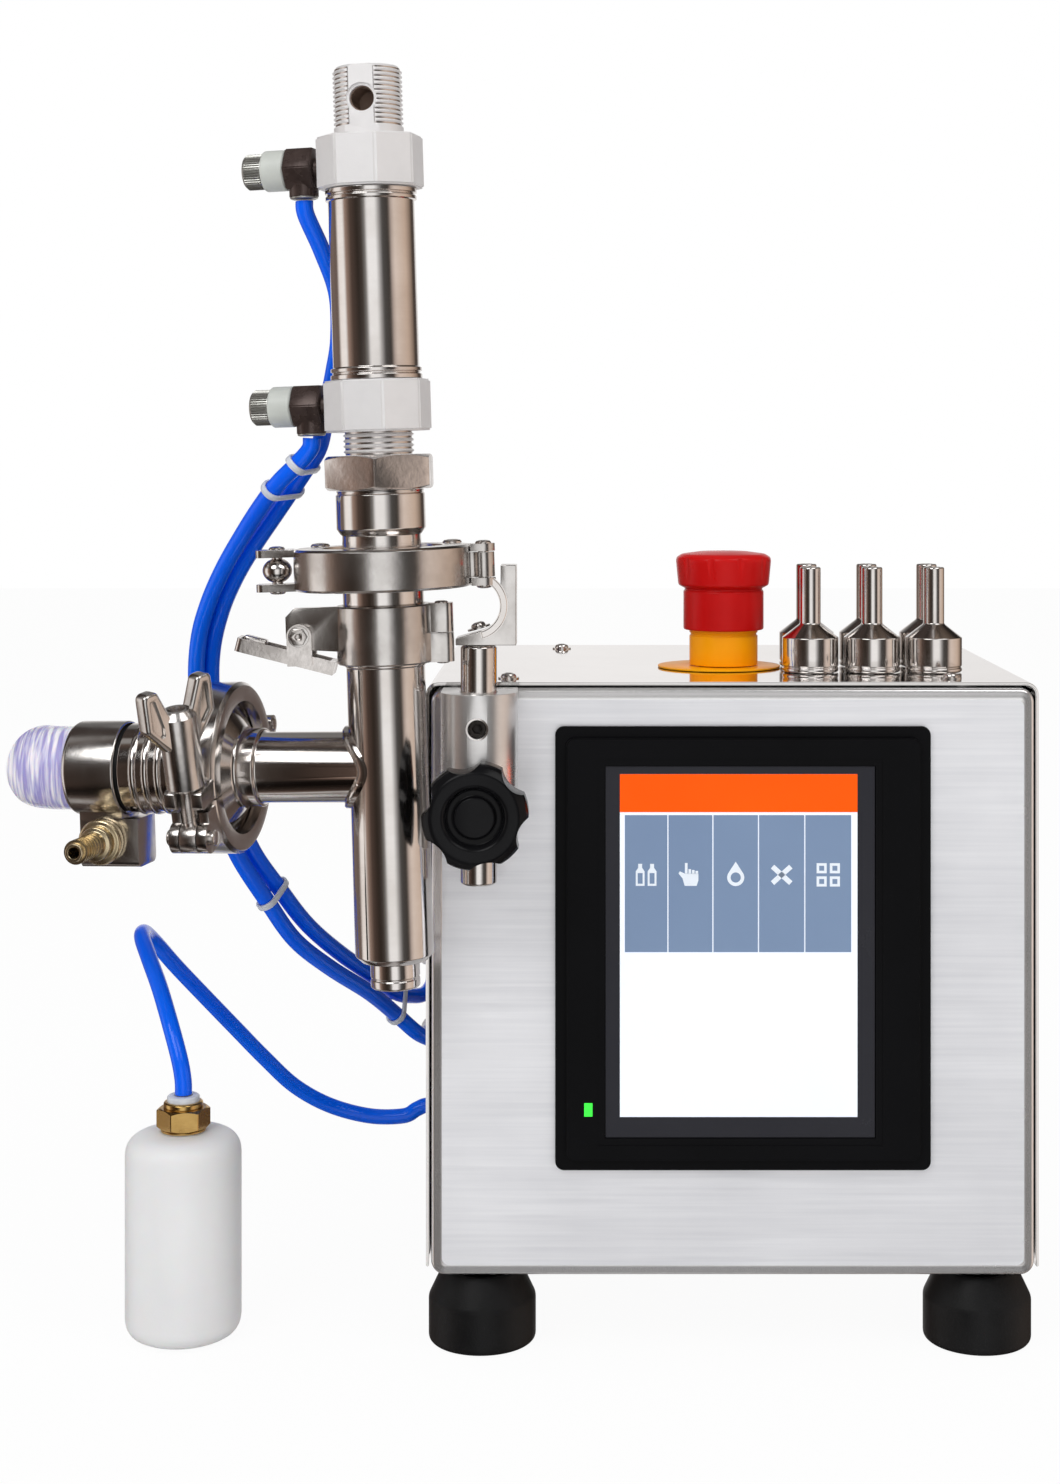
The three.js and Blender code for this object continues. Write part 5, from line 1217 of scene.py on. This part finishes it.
# Hose end: ribbed ferrule, hose in its collar, drain lug and barb
hoseEnd = {
    "ferrule": [(13.5, 78), (32, 78), (32, 79.2), (27.2, 80.9), (21.4, 87.5), (20.2, 92),
                (20.2, 120.9), (19.6, 121.5), (18.2, 121.5), (18.2, 122.5), (13.5, 122.5)],
    # gap: a black ring in the recess between ferrule and collar, as painted shade
    "ribs": (21.2, 6, 94, 4), "gap": (18.3, 19.5, 121.7, 124.6),
    "collar": [(15, 127), (19.9, 126), (20.3, 122.8), (20.7, 122.8), (21.3, 123.4),
               (21.3, 146), (20.4, 147.7), (19.3, 148), (15, 148)],
    "lugRoot": (-24, -15, 10, 122.8, 144), "lugFoot": (-44, -22, 10, 116, 144),
    "port": (-32, 133.25, 5),
    "barb": [(2.6, 0.3), (10.4, 0.3), (10.4, 3.4), (9.6, 4.3), (7.6, 4.5), (7.6, 9.3),
             (5.6, 9.6), (4.2, 30.4), (3.9, 31), (2.6, 31)],
    "barbRings": (6.1, 2.6, 11, 7),
    "hose": {"radius": 19, "start": 148.3, "straight": 5.4, "bend": 22, "angle": 39},
}


def buildHoseEnd():
    spec = hoseEnd
    body = bodyOf("hose_ferrule")
    turnedPiece("ferrule", spec["ferrule"], "polishedSteel", body, branchFrame, ["hose_ferrule"],
                0.5, 112)
    radius, pitch, start, count = spec["ribs"]
    rib = turned(eased([(20.0, -1.7), (20.4, -1.7), (radius, -0.7), (radius, 0.7), (20.4, 1.7),
                        (20.0, 1.7)], 0.4), 96)
    repeatedPiece("ferrule_ribs", rowTree, rib, count, (0, 0, pitch), "polishedSteel",
                  branchFrame @ shifted(0, 0, start + 2), body)
    # painted shade: a black ring fills the recess between the ferrule and the collar
    shapedPiece("collar_gap", tubeShape(*spec["gap"]), "blackRubber", body, branchFrame)
    collar = meshOf(turned(eased(spec["collar"], 0.5), 112))
    x0, x1, half, z0, z1 = spec["lugRoot"]
    root = meshOf(slab(x0, x1, -half, half, z0 + 0.8, z1, 0))
    x0, x1, half, z0, z1 = spec["lugFoot"]
    outline = rounded([(x0, -half), (x1, -half), (x1, half), (x0, half)], (0, 3), 3)
    foot = meshOf(prism(outline, z0, z1, 0))
    bore = meshOf(rodShape(15.5, 110, 150))
    portX, portZ, portRadius = spec["port"]
    port = meshOf(rodShape(portRadius, 0, 14, 32), shifted(portX, 0, portZ, 90, "X"))
    fusedPiece("collar_and_lug", "satinSteel", "hose_collar", branchFrame,
               [collar, root, foot], [bore, port], edge=1.0, segments=3)
    atBarb = branchFrame @ shifted(portX, -half, portZ, 90, "X")
    shapedPiece("drain_nozzle", turned(eased(spec["barb"], 0.5), 64), "paleBrass",
                bodyOf("drain_barb"), atBarb, ["drain_barb"])
    radius, pitch, start, count = spec["barbRings"]
    radius -= 0.6
    ring = turned([(3.6, 0), (4.2, 0), (radius, 2.1), (radius, 2.4), (3.6, 2.4)], 48)
    repeatedPiece("drain_nozzle_rings", rowTree, ring, count, (0, 0, pitch), "paleBrass",
                  atBarb @ shifted(0, 0, start), bodyOf("drain_barb"))
    hose = spec["hose"]
    run, bend = [], hose["bend"]
    steps = 26
    for i in range(3):
        run.append(Vector((0, 0, hose["start"] + hose["straight"] * i / 3)) * mm)
    for i in range(steps + 1):
        angle = math.radians(hose["angle"]) * i / steps
        run.append(Vector((0, bend - bend * math.cos(angle),
                           hose["start"] + hose["straight"] + bend * math.sin(angle))) * mm)
    shape = swept(run, roundSection(hose["radius"], 64))
    shapedPiece("product_hose_end", shape, "wrappedHose", bodyOf("product_hose"),
                branchFrame, ["product_hose"], 60)


buildHoseEnd()
print("branch made")

# Speed controls on the cylinder's caps: hexagon and elbow, pale collar, knurled screw
speedControl = {
    "heights": {"upper": 179, "lower": 72.9}, "turn": -12,
    "hex": (25, 38, 9.1), "neck": (5, 20, 26), "elbowAt": 31.2,
    "elbow": [(0, -13.5), (5.4, -13.5), (5.4, -12.7), (6.6, -12.3), (6.6, 0), (0, 0)],
    "ring": [(4.2, -13.4), (5.7, -13.4), (6.3, -13), (6.3, -12.4), (4.2, -12.4)],
    "collar": [(0, 38.3), (8.4, 38.3), (9.2, 39.0), (9.2, 48.2), (8.6, 49), (0, 49)],
    "knob": [(0, 49), (7.6, 49), (7.6, 57.2), (6.9, 58.0), (5.6, 58.0), (5.0, 57.4), (0, 57.4)],
    "knurls": (44, 7.62, 0.38, 49.6, 56.9), "slot": (0.7, 4.6, 56.7, 60),
}


def buildSpeedControls():
    spec = speedControl
    for level, height in spec["heights"].items():
        body = bodyOf(f"{level}_speed_control")
        knobBody = bodyOf(f"{level}_speed_knob")
        upright = columnFrame @ shifted(0, 0, height, spec["turn"], "Z")
        along = upright @ Matrix.Rotation(math.radians(-90), 4, "Y")
        low, high, half = spec["hex"]
        radius, start, end = spec["neck"]
        down = towardSide @ shifted(-spec["elbowAt"], 0, 0)
        hexagon = meshOf(prism(regular(6, 2 * half, math.radians(30)), low, high, 0.5))
        tube = meshOf(turned(eased(spec["elbow"], 0.3), 48), down)
        mesh = fused([hexagon, meshOf(rodShape(radius, start, end, 40)), tube], edge=0.35)
        meshPiece(f"{level}_control_body", mesh, "darkBronze", body, along,
                  [f"{level}_speed_control"])
        turnedPiece(f"{level}_release_ring", spec["ring"], "nickel", body, along @ down, (),
                    0.15, 48)
        turnedPiece(f"{level}_control_collar", spec["collar"], "greyPlastic", knobBody, along,
                    [f"{level}_speed_knob"], 0.3)
        width, reach, z0, z1 = spec["slot"]
        knob = combined(meshOf(turned(eased(spec["knob"], 0.3), 72)),
                        [meshOf(slab(-width, width, -reach, reach, z0, z1, 0))])
        meshPiece(f"{level}_control_screw", knob, "nickel", knobBody, along)
        count, radius, ridge, z0, z1 = spec["knurls"]
        item = prism([(-0.1, -ridge), (ridge, 0), (-0.1, ridge)], z0, z1, 0)
        repeatedPiece(f"{level}_control_knurl", circleTree, item, count, radius, "nickel", along,
                      knobBody, 20)


buildSpeedControls()

# Post, its holder, the star knob and the bracket
post = {"place": (-48, -20), "radius": 8.2, "low": 220, "high": 327}
holder = {"x": (-65, -31), "front": -37, "z": (236, 306), "nose": 17, "bore": 8.55,
          "screw": (4.3, 6, 291), "setScrew": (3.9, 3.4, 2.0),
          "rim": [(4.2, -0.1), (5, 0.05), (5, -0.3), (4.3, -1.2)]}
knob = {"z": 256, "back": -43, "lobes": 6, "scoop": (11, 30.6), "tilt": 42,
        "profile": [(0, -14.5), (3, -14.5), (3, 0), (10, 0), (21.6, 4.2), (23.3, 6.2), (23.3, 16),
                    (22.4, 18.2), (19.6, 20.7), (18.4, 21), (14.2, 21), (13, 20), (12, 17),
                    (9.6, 17), (8.8, 17.6), (8.8, 19.4), (0, 19.4)]}
bracket = {"foot": (-58, 327.3, 333.3), "right": -31, "plate": 7, "top": 363, "hook": 354,
           "arch": (-50, 345, 12), "y": (-27, -13), "strap": (3.4, 1.5, 62, 76),
          "washer": (0.2, 1.0, -16, 5.2, 0.9), "bolt": (3.3, 2.2)}


def buildPost():
    x, y = post["place"]
    low, high, radius = post["low"], post["high"], post["radius"]
    turnedPiece("post_bar", [(0, low), (radius - 1, low), (radius, low + 1), (radius, high - 1),
                             (radius - 1, high), (0, high)], "polishedSteel",
                bodyOf("post"), standing(x, y, 0), ["post"], 0.3)
    body = bodyOf("post_holder")
    x0, x1 = holder["x"]
    z0, z1 = holder["z"]
    middle, nose = (x0 + x1) / 2, holder["nose"]
    outline = [(x1 - x, -0.3 - y), (x0 - x, -0.3 - y)] + [
        (px - x, py - y) for px, py in disc(middle, holder["front"] + nose, nose, 48, 180, 360)]
    bore = meshOf(rodShape(holder["bore"], z0 - 3, z1 + 3, 72))
    radius, depth, height = holder["screw"]
    front = holder["front"] - y
    hole = meshOf(rodShape(radius, front * -1 - depth, 30, 48), shifted(0, 0, height, 90, "X"))
    fusedPiece("holder_block", "turnedSteel", "post_holder", standing(x, y, 0),
               [meshOf(prism(outline, z0, z1, 0))], [bore, hole], 0.9, 36, segments=3, angle=50)
    turnedPiece("holder_hole_rim", holder["rim"], "polishedSteel", body,
                standing(x, holder["front"] - 0.02, height) @ towardFront, (), 0)
    screwRadius, length, key = holder["setScrew"]
    screw = fused([meshOf(rodShape(screwRadius, 0, length, 40))],
                  [meshOf(prism(regular(6, 2 * key), 0.6, 4, 0))], 0.2)
    # painted shade: the set screw down the hole gets a near-black finish
    meshPiece("holder_set_screw", screw, "darkHoleShade", body,
              standing(x, holder["front"] + depth, height) @ towardFront)


def buildKnob():
    radius, reach = knob["scoop"]
    scoops = repeated(circleTree, rodShape(radius, -2, 30, 56), knob["lobes"], reach,
                      "blackPlastic", Matrix.Rotation(math.radians(knob["tilt"]), 4, "Z"))
    fusedPiece("star_knob", "blackPlastic", "clamp_knob",
               standing(post["place"][0], knob["back"], knob["z"]) @ towardFront,
               [meshOf(turned(eased(knob["profile"], 0.7), 168))], [scoops], 1.1, 40,
               segments=4, angle=40)


def buildBracket():
    left, low, high = bracket["foot"]
    right, top, hook = bracket["right"], bracket["top"], bracket["hook"]
    plateLeft = right - bracket["plate"]
    archX, archZ, radius = bracket["arch"]
    start = math.degrees(math.asin((hook - archZ) / radius))
    end = -math.degrees(math.asin((archZ - high) / radius))
    outline = [(left, low), (right, low), (right, top), (plateLeft, top), (plateLeft, hook)]
    outline += disc(archX, archZ, radius, 32, start, end) + [(left, low + 3)]
    y0, y1 = bracket["y"]
    fusedPiece("bracket_plate", "satinSteel", "bracket", facing,
               [meshOf(prism(outline, -y1, -y0, 0))], edge=0.9, sharp=36, segments=3, angle=40)
    wide, proud, top, bottom = bracket["strap"]
    strap = disc(archX, archZ, radius - 0.3, 28, -bottom, top)
    strap += disc(archX, archZ, radius + wide, 28, top, -bottom)
    shapedPiece("bracket_strap", prism(strap, -y0 - 0.5, -y0 + proud, 0.7, 3), "polishedSteel",
                bodyOf("bracket"), facing)
    x, y = post["place"]
    aside, rise, angle, radius, thick = bracket["washer"]
    tilt = standing(x + aside, y, high + rise) @ Matrix.Rotation(math.radians(angle), 4, "Y")
    turnedPiece("bracket_washer", [(0, 0), (radius, 0), (radius, thick), (0, thick)],
                "satinSteel", bodyOf("bracket"), tilt, (), 0.2, 48)
    radius, rise = bracket["bolt"]
    turnedPiece("bracket_bolt", domed(radius, thick, rise), "castSteel",
                bodyOf("bracket"), tilt, (), 0.2, 48)


buildPost()
buildKnob()
buildBracket()
print("holder made")

# Emergency stop, the parked nozzles, the feet, the bottle and the cover screws
stop = {
    "place": (67.5, 79, 308),
    "legend": {"radius": 29.9, "aside": 2.3, "hole": 11.6, "z": (0.3, 1.0)},
    "collar": [(6, -23.8), (11, -23.8), (11, 1.4), (16.7, 1.4), (16.7, 15.6), (16.1, 16.0),
               (16.1, 16.8), (16.7, 17.2), (16.7, 24), (6, 24)],
    "cap": [(0, 31.2), (17.5, 31.2), (17.5, 18.6), (19.2, 18.6), (19.65, 19.2), (19.65, 37.4),
            (19.0, 38.0), (19.0, 38.8), (22.0, 40.4), (22.3, 41.6), (23.3, 52.4), (22.9, 54.0),
            (20.4, 55.6), (12, 56.7), (0, 57)],
    "scoops": (10, 3.2, 25.7, 38.6, 60),
}
nozzle = {
    "rows": (3, 2), "first": (107.6, 53.3), "pitch": 29.6, "rowStep": (1.2, 32), "seat": 308.3,
    "profile": [(10.5, 0), (12.9, 0), (13.45, 0.6), (13.45, 1.8), (13.0, 2.1), (13.0, 2.7),
                (13.45, 3.0), (13.45, 16.4), (5.5, 22.5), (5.0, 23.1), (5.0, 49.4), (4.6, 50),
                (3, 50), (3, 13), (10.5, 13)],
}
foot = {
    "profile": [(0, 0), (23.6, 0), (24.7, 1.1), (25, 2.4), (25, 19.6), (24.7, 20.9),
                (18.9, 33.0), (18.0, 33.9), (16.6, 33.9), (15.7, 33.0), (13.4, 29.4), (0, 29.4)],
    "stud": [(0, 29), (11.4, 29), (11.4, 34.0), (10.8, 34.6), (9.2, 34.8), (9.2, 36.5),
             (0, 36.5)],
    "x": (-48.4, 182.6), "y": (25, 185),
}
bottle = {
    "place": (-188.8, 29),
    "profile": [(0, 0.8), (15, 0.8), (17, 0), (20.5, 0.2), (24.6, 2.2), (26.5, 5.4), (27, 9),
                (27, 85.6), (26.4, 89.2), (24.2, 92.3), (20.6, 94.3), (16, 95), (9.6, 95),
                (9.6, 95.6), (0, 95.6)],
    "washer": [(0, 95.6), (10.6, 95.6), (10.6, 96.6), (0, 96.6)],
    "nut": {"flats": 21.9, "turn": 12, "z": (96.8, 106.4), "ends": (10.65, 12.5, 1.1),
            "edge": 0, "sides": 72},
    "top": [(4.2, 106), (9.2, 106), (9.2, 108.6), (8.6, 109.2), (4.2, 109.2)],
    "ferrule": [(4.1, 109), (7.6, 109), (7.6, 111.4), (6.8, 112), (4.1, 112)],
}
coverScrews = {"first": (-36, 21, 308), "steps": ((206, 0, 0), (0, 164, 0)), "radius": 3.6,
               "rise": 2.0, "washer": (4.9, 0.6), "rearInset": 23}


def buildStop():
    spec = stop
    x, y, z = spec["place"]
    at = standing(x, y, z)
    legend = spec["legend"]
    low, high = legend["z"]
    plate = fused([meshOf(rodShape(legend["radius"], low, high, 128),
                          shifted(-legend["aside"], 0, 0))],
                  [meshOf(rodShape(legend["hole"], low - 1, high + 1, 64))], 0.2)
    meshPiece("stop_plate", plate, "yellowPlastic", bodyOf("estop_legend_plate"), at,
              ["estop_legend_plate"])
    turnedPiece("stop_collar", spec["collar"], "yellowPlastic",
                bodyOf("estop_collar"), at, ["estop_collar"], 0.3)
    count, radius, reach, low, high = spec["scoops"]
    scoops = repeated(circleTree, rodShape(radius, low, high, 36), count, reach, "redPlastic")
    fusedPiece("stop_cap", "redPlastic", "estop_cap", at,
               [meshOf(turned(eased(spec["cap"], 0.8), 120))], [scoops], 0.5, 36, segments=3,
               angle=36)


def buildNozzles():
    columns, rows = nozzle["rows"]
    for row in range(rows):
        for column in range(columns):
            number = row * columns + column + 1
            x = nozzle["first"][0] + nozzle["pitch"] * column + nozzle["rowStep"][0] * row
            y = nozzle["first"][1] + nozzle["rowStep"][1] * row
            node = f"nozzle_{number}"
            turnedPiece(f"filling_{node}", nozzle["profile"], "polishedSteel",
                        bodyOf(node), standing(x, y, nozzle["seat"]), [node], 0.3)


def buildFeet():
    for side, x in zip(("left", "right"), foot["x"]):
        for end, y in zip(("front", "rear"), foot["y"]):
            node = f"foot_{end}_{side}"
            body = bodyOf(node)
            turnedPiece(f"{node}_pad", foot["profile"], "blackRubber", body,
                        standing(x, y, 0), [node], 0.8)
            turnedPiece(f"{node}_stud", foot["stud"], "blackPlastic", body,
                        standing(x, y, 0), (), 0.4)


def buildBottle():
    at = standing(*bottle["place"], 0)
    body = bodyOf("exhaust_bottle")
    turnedPiece("bottle_shell", bottle["profile"], "whitePlastic", body, at,
                ["exhaust_bottle"], 2.0, 128)
    turnedPiece("bottle_washer", bottle["washer"], "brass", body, at, (), 0.3)
    meshPiece("bottle_nut", hexNut(**bottle["nut"]), "brass", body, at, ["bottle_fitting"], 26)
    turnedPiece("bottle_nut_top", bottle["top"], "brass", body, at, (), 0.3)
    turnedPiece("bottle_tube_ring", bottle["ferrule"], "clearTie", body, at, (), 0.4)


def buildCoverScrews():
    spec = coverScrews
    x, y, z = spec["first"]
    body = bodyOf("cover")
    radius, thick = spec["washer"]
    across, along = spec["steps"]
    for row in range(2):
        inset = spec["rearInset"] * row
        at = standing(x + inset, y + along[1] * row, z + 0.02)
        step = (across[0] - 2 * inset, 0, 0)
        repeatedPiece(f"cover_washers_{row + 1}", rowTree, rodShape(radius, 0, thick, 40), 2,
                      step, "satinSteel", at, body)
        head = fused([meshOf(turned(domed(spec["radius"], thick, spec["rise"]), 40))],
                     [meshOf(prism(regular(6, 3), thick + 0.8, thick + 4, 0))], 0)
        shape = bmesh.new()
        shape.from_mesh(head)
        repeatedPiece(f"cover_screws_{row + 1}", rowTree, shape, 2, step, "castSteel", at, body)


buildStop()
buildNozzles()
buildFeet()
buildBottle()
buildCoverScrews()

# Clear ties round the two long air tubes
ties = {"width": 3.0, "thick": 1.3, "gap": 0.2, "at": ((295, 462), (276, 493), (270, 903),
                                                            (397, 1012))}
framing = {"centre": (586, 455), "scale": 2300, "eye": (0, -1050, 412)}


def inPicture(point):
    seen = (point - machineZero) / mm
    depth = seen.y - framing["eye"][1]
    return (framing["centre"][0] + framing["scale"] * seen.x / depth,
            framing["centre"][1] + framing["scale"] * (framing["eye"][2] - seen.z) / depth)


def nearest(run, pixel):
    def off(i):
        px, py = inPicture(run[i])
        return (px - pixel[0]) ** 2 + (py - pixel[1]) ** 2
    return min(range(1, len(run) - 1), key=off)


def buildTies():
    radius = tubeSettings["radius"] + ties["gap"] + ties["thick"] / 2
    for number, pixel in enumerate(ties["at"], 1):
        one, two = nearest(lowerRun, pixel), nearest(upperRun, pixel)
        way = (lowerRun[one + 1] - lowerRun[one - 1]).normalized()
        a = lowerRun[one]
        b = min(upperRun[max(two - 12, 0):two + 13], key=lambda p: abs((p - a).dot(way)))
        b = b - way * (b - a).dot(way)
        across = (b - a).normalized()
        lift = way.cross(across)
        run = []
        for centre, start in ((a, 90), (b, 270)):
            for k in range(13):
                angle = math.radians(start + 15 * k)
                run.append(centre + (across * math.cos(angle) + lift * math.sin(angle))
                           * radius * mm)
        half, thin = ties["width"] / 2 * mm, ties["thick"] / 2 * mm
        shape = bmesh.new()
        rings = []
        for i, point in enumerate(run):
            tangent = (run[(i + 1) % len(run)] - run[i - 1]).normalized()
            out = tangent.cross(way).normalized()
            rings.append([shape.verts.new(point + way * u * half + out * v * thin)
                          for u, v in ((-1, -0.6), (-0.7, -1), (0.7, -1), (1, -0.6), (1, 0.6),
                                       (0.7, 1), (-0.7, 1), (-1, 0.6))])
        joinRings(shape, rings + rings[:1])
        bmesh.ops.recalc_face_normals(shape, faces=shape.faces)
        tie = settle(newPiece(f"tube_tie_{number}", meshOf(shape)), "clearTie", "cabinet", (), 50)
        tie.parent = None
        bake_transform(tie)


buildTies()
print("small pieces made")

# Cabinet: polished tray with a rolled rim, matt film on its front, polished hood
cabinet = {
    "x": (-70.9, 205.1), "z": (37, 305.5), "corner": 6.5, "sheet": 2, "flange": 24,
    "rim": [(5.0, 0), (3.9, 0.25), (2.6, 0.72), (1.6, 0.86), (1.1, 1.1), (0.6, 1.6), (0.25, 2.3),
            (0.05, 3.2), (0, 4.2)],
    "film": (5.1, 0.22, 0.4), "filmCorner": 3.4, "floor": (16, 207.9), "back": (205.9, 207.9),
    "hood": {"x": (-73.4, 207.6), "z": (40, 308), "y": (3.5, 210), "corner": 6, "sheet": 1.5},
    "ports": {"radius": 6.5, "places": ((166, 108), (178, 152), (184, 63))},
    "inlets": {"power": (150, 80, 28.4, 22.4), "air": (90, 80, 8.2)},
}


def rimLoop(inset):
    (x0, x1), (z0, z1) = cabinet["x"], cabinet["z"]
    return roundedOutline(x0 + inset, x1 - inset, z0 + inset, z1 - inset,
                          max(cabinet["corner"] - inset, 1.4), 10)


def buildTray():
    spec = cabinet
    wall, depth = spec["sheet"], spec["flange"]
    profile = spec["rim"] + [(0, depth), (wall, depth), (wall, wall + 2.6), (wall + 2.6, wall)]
    shape = bmesh.new()
    loops = [[shape.verts.new((x * mm, z * mm, -back * mm)) for x, z in rimLoop(inset)]
             for inset, back in profile]
    joinRings(shape, loops)
    shape.faces.new(loops[0])
    shape.faces.new(loops[-1])
    bmesh.ops.recalc_face_normals(shape, faces=shape.faces)
    meshPiece("tray_front", combined(meshOf(shape), [windowCut(-8, 8)]), "rimSteel", "cabinet",
              facing, ["chassis"], 26)
    (x0, x1), (z0, z1) = spec["x"], spec["z"]
    y0, y1 = spec["floor"]
    shapedPiece("tray_floor", slab(x0, x1, y0 + 8.2, y1, z0, z0 + wall, 0.3), "polishedSheet",
                "cabinet", standing(0, 0, 0))
    x, z, wide, high = spec["inlets"]["power"]
    powerHole = prism(rectangle(x - wide / 2, x + wide / 2, z - high / 2, z + high / 2),
                      -220, -200, 0)
    x, z, radius = spec["inlets"]["air"]
    airHole = prism(disc(x, z, radius, 40), -220, -200, 0)
    y0, y1 = spec["back"]
    back = combined(meshOf(prism(rectangle(x0, x1, z0 + wall, z1 - 0.5), -y1, -y0, 0.3)),
                    [meshOf(powerHole), meshOf(airHole)])
    meshPiece("tray_back", back, "polishedSheet", "cabinet", facing)
    inset, thin, under = spec["film"]
    film = prism(roundedOutline(x0 + inset, x1 - inset, z0 + inset, z1 - inset,
                                spec["filmCorner"], 10), -under, thin, 0.2, 2)
    meshPiece("front_film", combined(meshOf(film), [windowCut(-8, 8)]), "brushedSteel",
              "cabinet", facing)


def archOutline(inset, corner, bottom):
    (x0, x1), top = cabinet["hood"]["x"], cabinet["hood"]["z"][1]
    x0, x1, top = x0 + inset, x1 - inset, top - inset
    outline = [(x1, bottom)]
    for x, start in ((x1 - corner, 0), (x0 + corner, 90)):
        outline += disc(x, top - corner, corner, 12, start, start + 90)
    return outline + [(x0, bottom)]


def buildHood():
    spec = cabinet["hood"]
    wall, corner, bottom = spec["sheet"], spec["corner"], spec["z"][0]
    y0, y1 = spec["y"]
    outer = archOutline(0, corner, bottom)
    inner = archOutline(wall, corner - wall, bottom)
    shell = prism(outer + inner[::-1], -y1, -y0, 0.5, 3)
    holes = []
    ports = cabinet["ports"]
    for y, z in ports["places"]:
        holes.append(meshOf(rodShape(ports["radius"], -6, 6, 40),
                            shifted(spec["x"][0], z, -y, 90, "Y")))
    meshPiece("hood", combined(meshOf(shell), holes), "polishedSheet", "cabinet", facing,
              ["cover"], 26)


buildTray()
buildHood()
print("cabinet made")

# The nodes that no piece above replaces
for finishName, members in nodeFinish.items():
    for nodeName in members:
        if nodeName in dressedNodes:
            dressed(nodeName, finishName)
        else:
            nodes[nodeName].data.materials.clear()
            nodes[nodeName].data.materials.append(finish[finishName])
print("solids dressed")


# Studio: pale floor, one soft key and one soft fill, and the surround that metal mirrors
def bandRamp(tree, position, stops):
    ramp = addNode(tree, "ShaderNodeValToRGB", {"Fac": position})
    low, high = stops[0][0], stops[-1][0]
    elements = ramp.color_ramp.elements
    while len(elements) < len(stops):
        elements.new(0.5)
    for element, (angle, colour) in zip(elements, stops):
        element.position = (angle - low) / (high - low)
        element.color = (*colour, 1) if isinstance(colour, tuple) else (colour,) * 3 + (1,)
    return ramp.outputs["Color"]


def paleShare(tree):
    path = addNode(tree, "ShaderNodeLightPath")
    seen = addNode(tree, "ShaderNodeMath", {
        0: path.outputs["Is Camera Ray"], 1: path.outputs["Is Transmission Ray"]},
        operation="MAXIMUM")
    return path, seen.outputs[0]


world = bpy.data.worlds.new("studio")
bpy.context.scene.world = world
world.use_nodes = True
tree = world.node_tree
tree.nodes.clear()
way = addNode(tree, "ShaderNodeSeparateXYZ", {
    0: addNode(tree, "ShaderNodeTexCoord").outputs["Generated"]})
back = addNode(tree, "ShaderNodeMath", {0: way.outputs["Y"], 1: -1}, operation="MULTIPLY")
around = addNode(tree, "ShaderNodeMath", {
    0: way.outputs["X"], 1: back.outputs[0]}, operation="ARCTAN2")
aroundShare = addNode(tree, "ShaderNodeMapRange", {
    "Value": around.outputs[0], "From Min": -math.pi, "From Max": math.pi})
height = addNode(tree, "ShaderNodeMath", {0: way.outputs["Z"]}, operation="ARCSINE")
heightShare = addNode(tree, "ShaderNodeMapRange", {
    "Value": height.outputs[0], "From Min": -math.pi / 2, "From Max": math.pi / 2})
bands = bandRamp(tree, aroundShare.outputs["Result"], mirrorBands)
heights = bandRamp(tree, heightShare.outputs["Result"], mirrorHeights)
mirrored = addNode(tree, "ShaderNodeMix", {
    0: 1.0, 6: bands, 7: heights}, data_type="RGBA", blend_type="MULTIPLY")
path, seen = paleShare(tree)
plain = addNode(tree, "ShaderNodeBackground", {
    "Color": (1, 1, 1, 1), "Strength": lightSettings["worldDiffuse"]})
surround = addNode(tree, "ShaderNodeBackground", {
    "Color": mirrored.outputs[2], "Strength": 1.0})
white = addNode(tree, "ShaderNodeBackground", {"Color": (1, 1, 1, 1), "Strength": 1.0})
glossy = addNode(tree, "ShaderNodeMixShader", {
    0: path.outputs["Is Glossy Ray"], 1: plain.outputs[0], 2: surround.outputs[0]})
shown = addNode(tree, "ShaderNodeMixShader", {0: seen, 1: glossy.outputs[0], 2: white.outputs[0]})
addNode(tree, "ShaderNodeOutputWorld", {"Surface": shown.outputs[0]})

floorShape = bmesh.new()
bmesh.ops.create_grid(floorShape, x_segments=4, y_segments=4, size=6)
floor = newPiece("studio_floor", meshOf(floorShape, Matrix.Translation((0, 0, -0.0005))))
floorFinish = bpy.data.materials.new("paleFloor")
floorFinish.use_nodes = True
tree = floorFinish.node_tree
tree.nodes.clear()
path, seen = paleShare(tree)
glowShare = addNode(tree, "ShaderNodeMath", {0: seen, 1: 0.95}, operation="MULTIPLY")
matt = addNode(tree, "ShaderNodeBsdfDiffuse", {"Color": (0.9, 0.9, 0.9, 1)})
glow = addNode(tree, "ShaderNodeEmission", {"Color": (1, 1, 1, 1), "Strength": 1.0})
mixed = addNode(tree, "ShaderNodeMixShader", {
    0: glowShare.outputs[0], 1: matt.outputs[0], 2: glow.outputs[0]})
clear = addNode(tree, "ShaderNodeBsdfTransparent")
unmirrored = addNode(tree, "ShaderNodeMixShader", {
    0: path.outputs["Is Glossy Ray"], 1: mixed.outputs[0], 2: clear.outputs[0]})
addNode(tree, "ShaderNodeOutputMaterial", {"Surface": unmirrored.outputs[0]})
floor.data.materials.append(floorFinish)


def softLamp(name, values):
    lamp = bpy.data.lights.new(name, "AREA")
    lamp.energy = values["power"]
    lamp.shape = "DISK"
    lamp.size = values["size"]
    thing = bpy.data.objects.new(name, lamp)
    thing.location = place(*values["place"])
    aim = place(0, 0, 260) - thing.location
    thing.rotation_euler = aim.to_track_quat("-Z", "Y").to_euler()
    bpy.context.scene.collection.objects.link(thing)


softLamp("key", lightSettings["key"])
softLamp("fill", lightSettings["fill"])
bpy.context.scene.view_settings.view_transform = "Standard"
print("studio made")
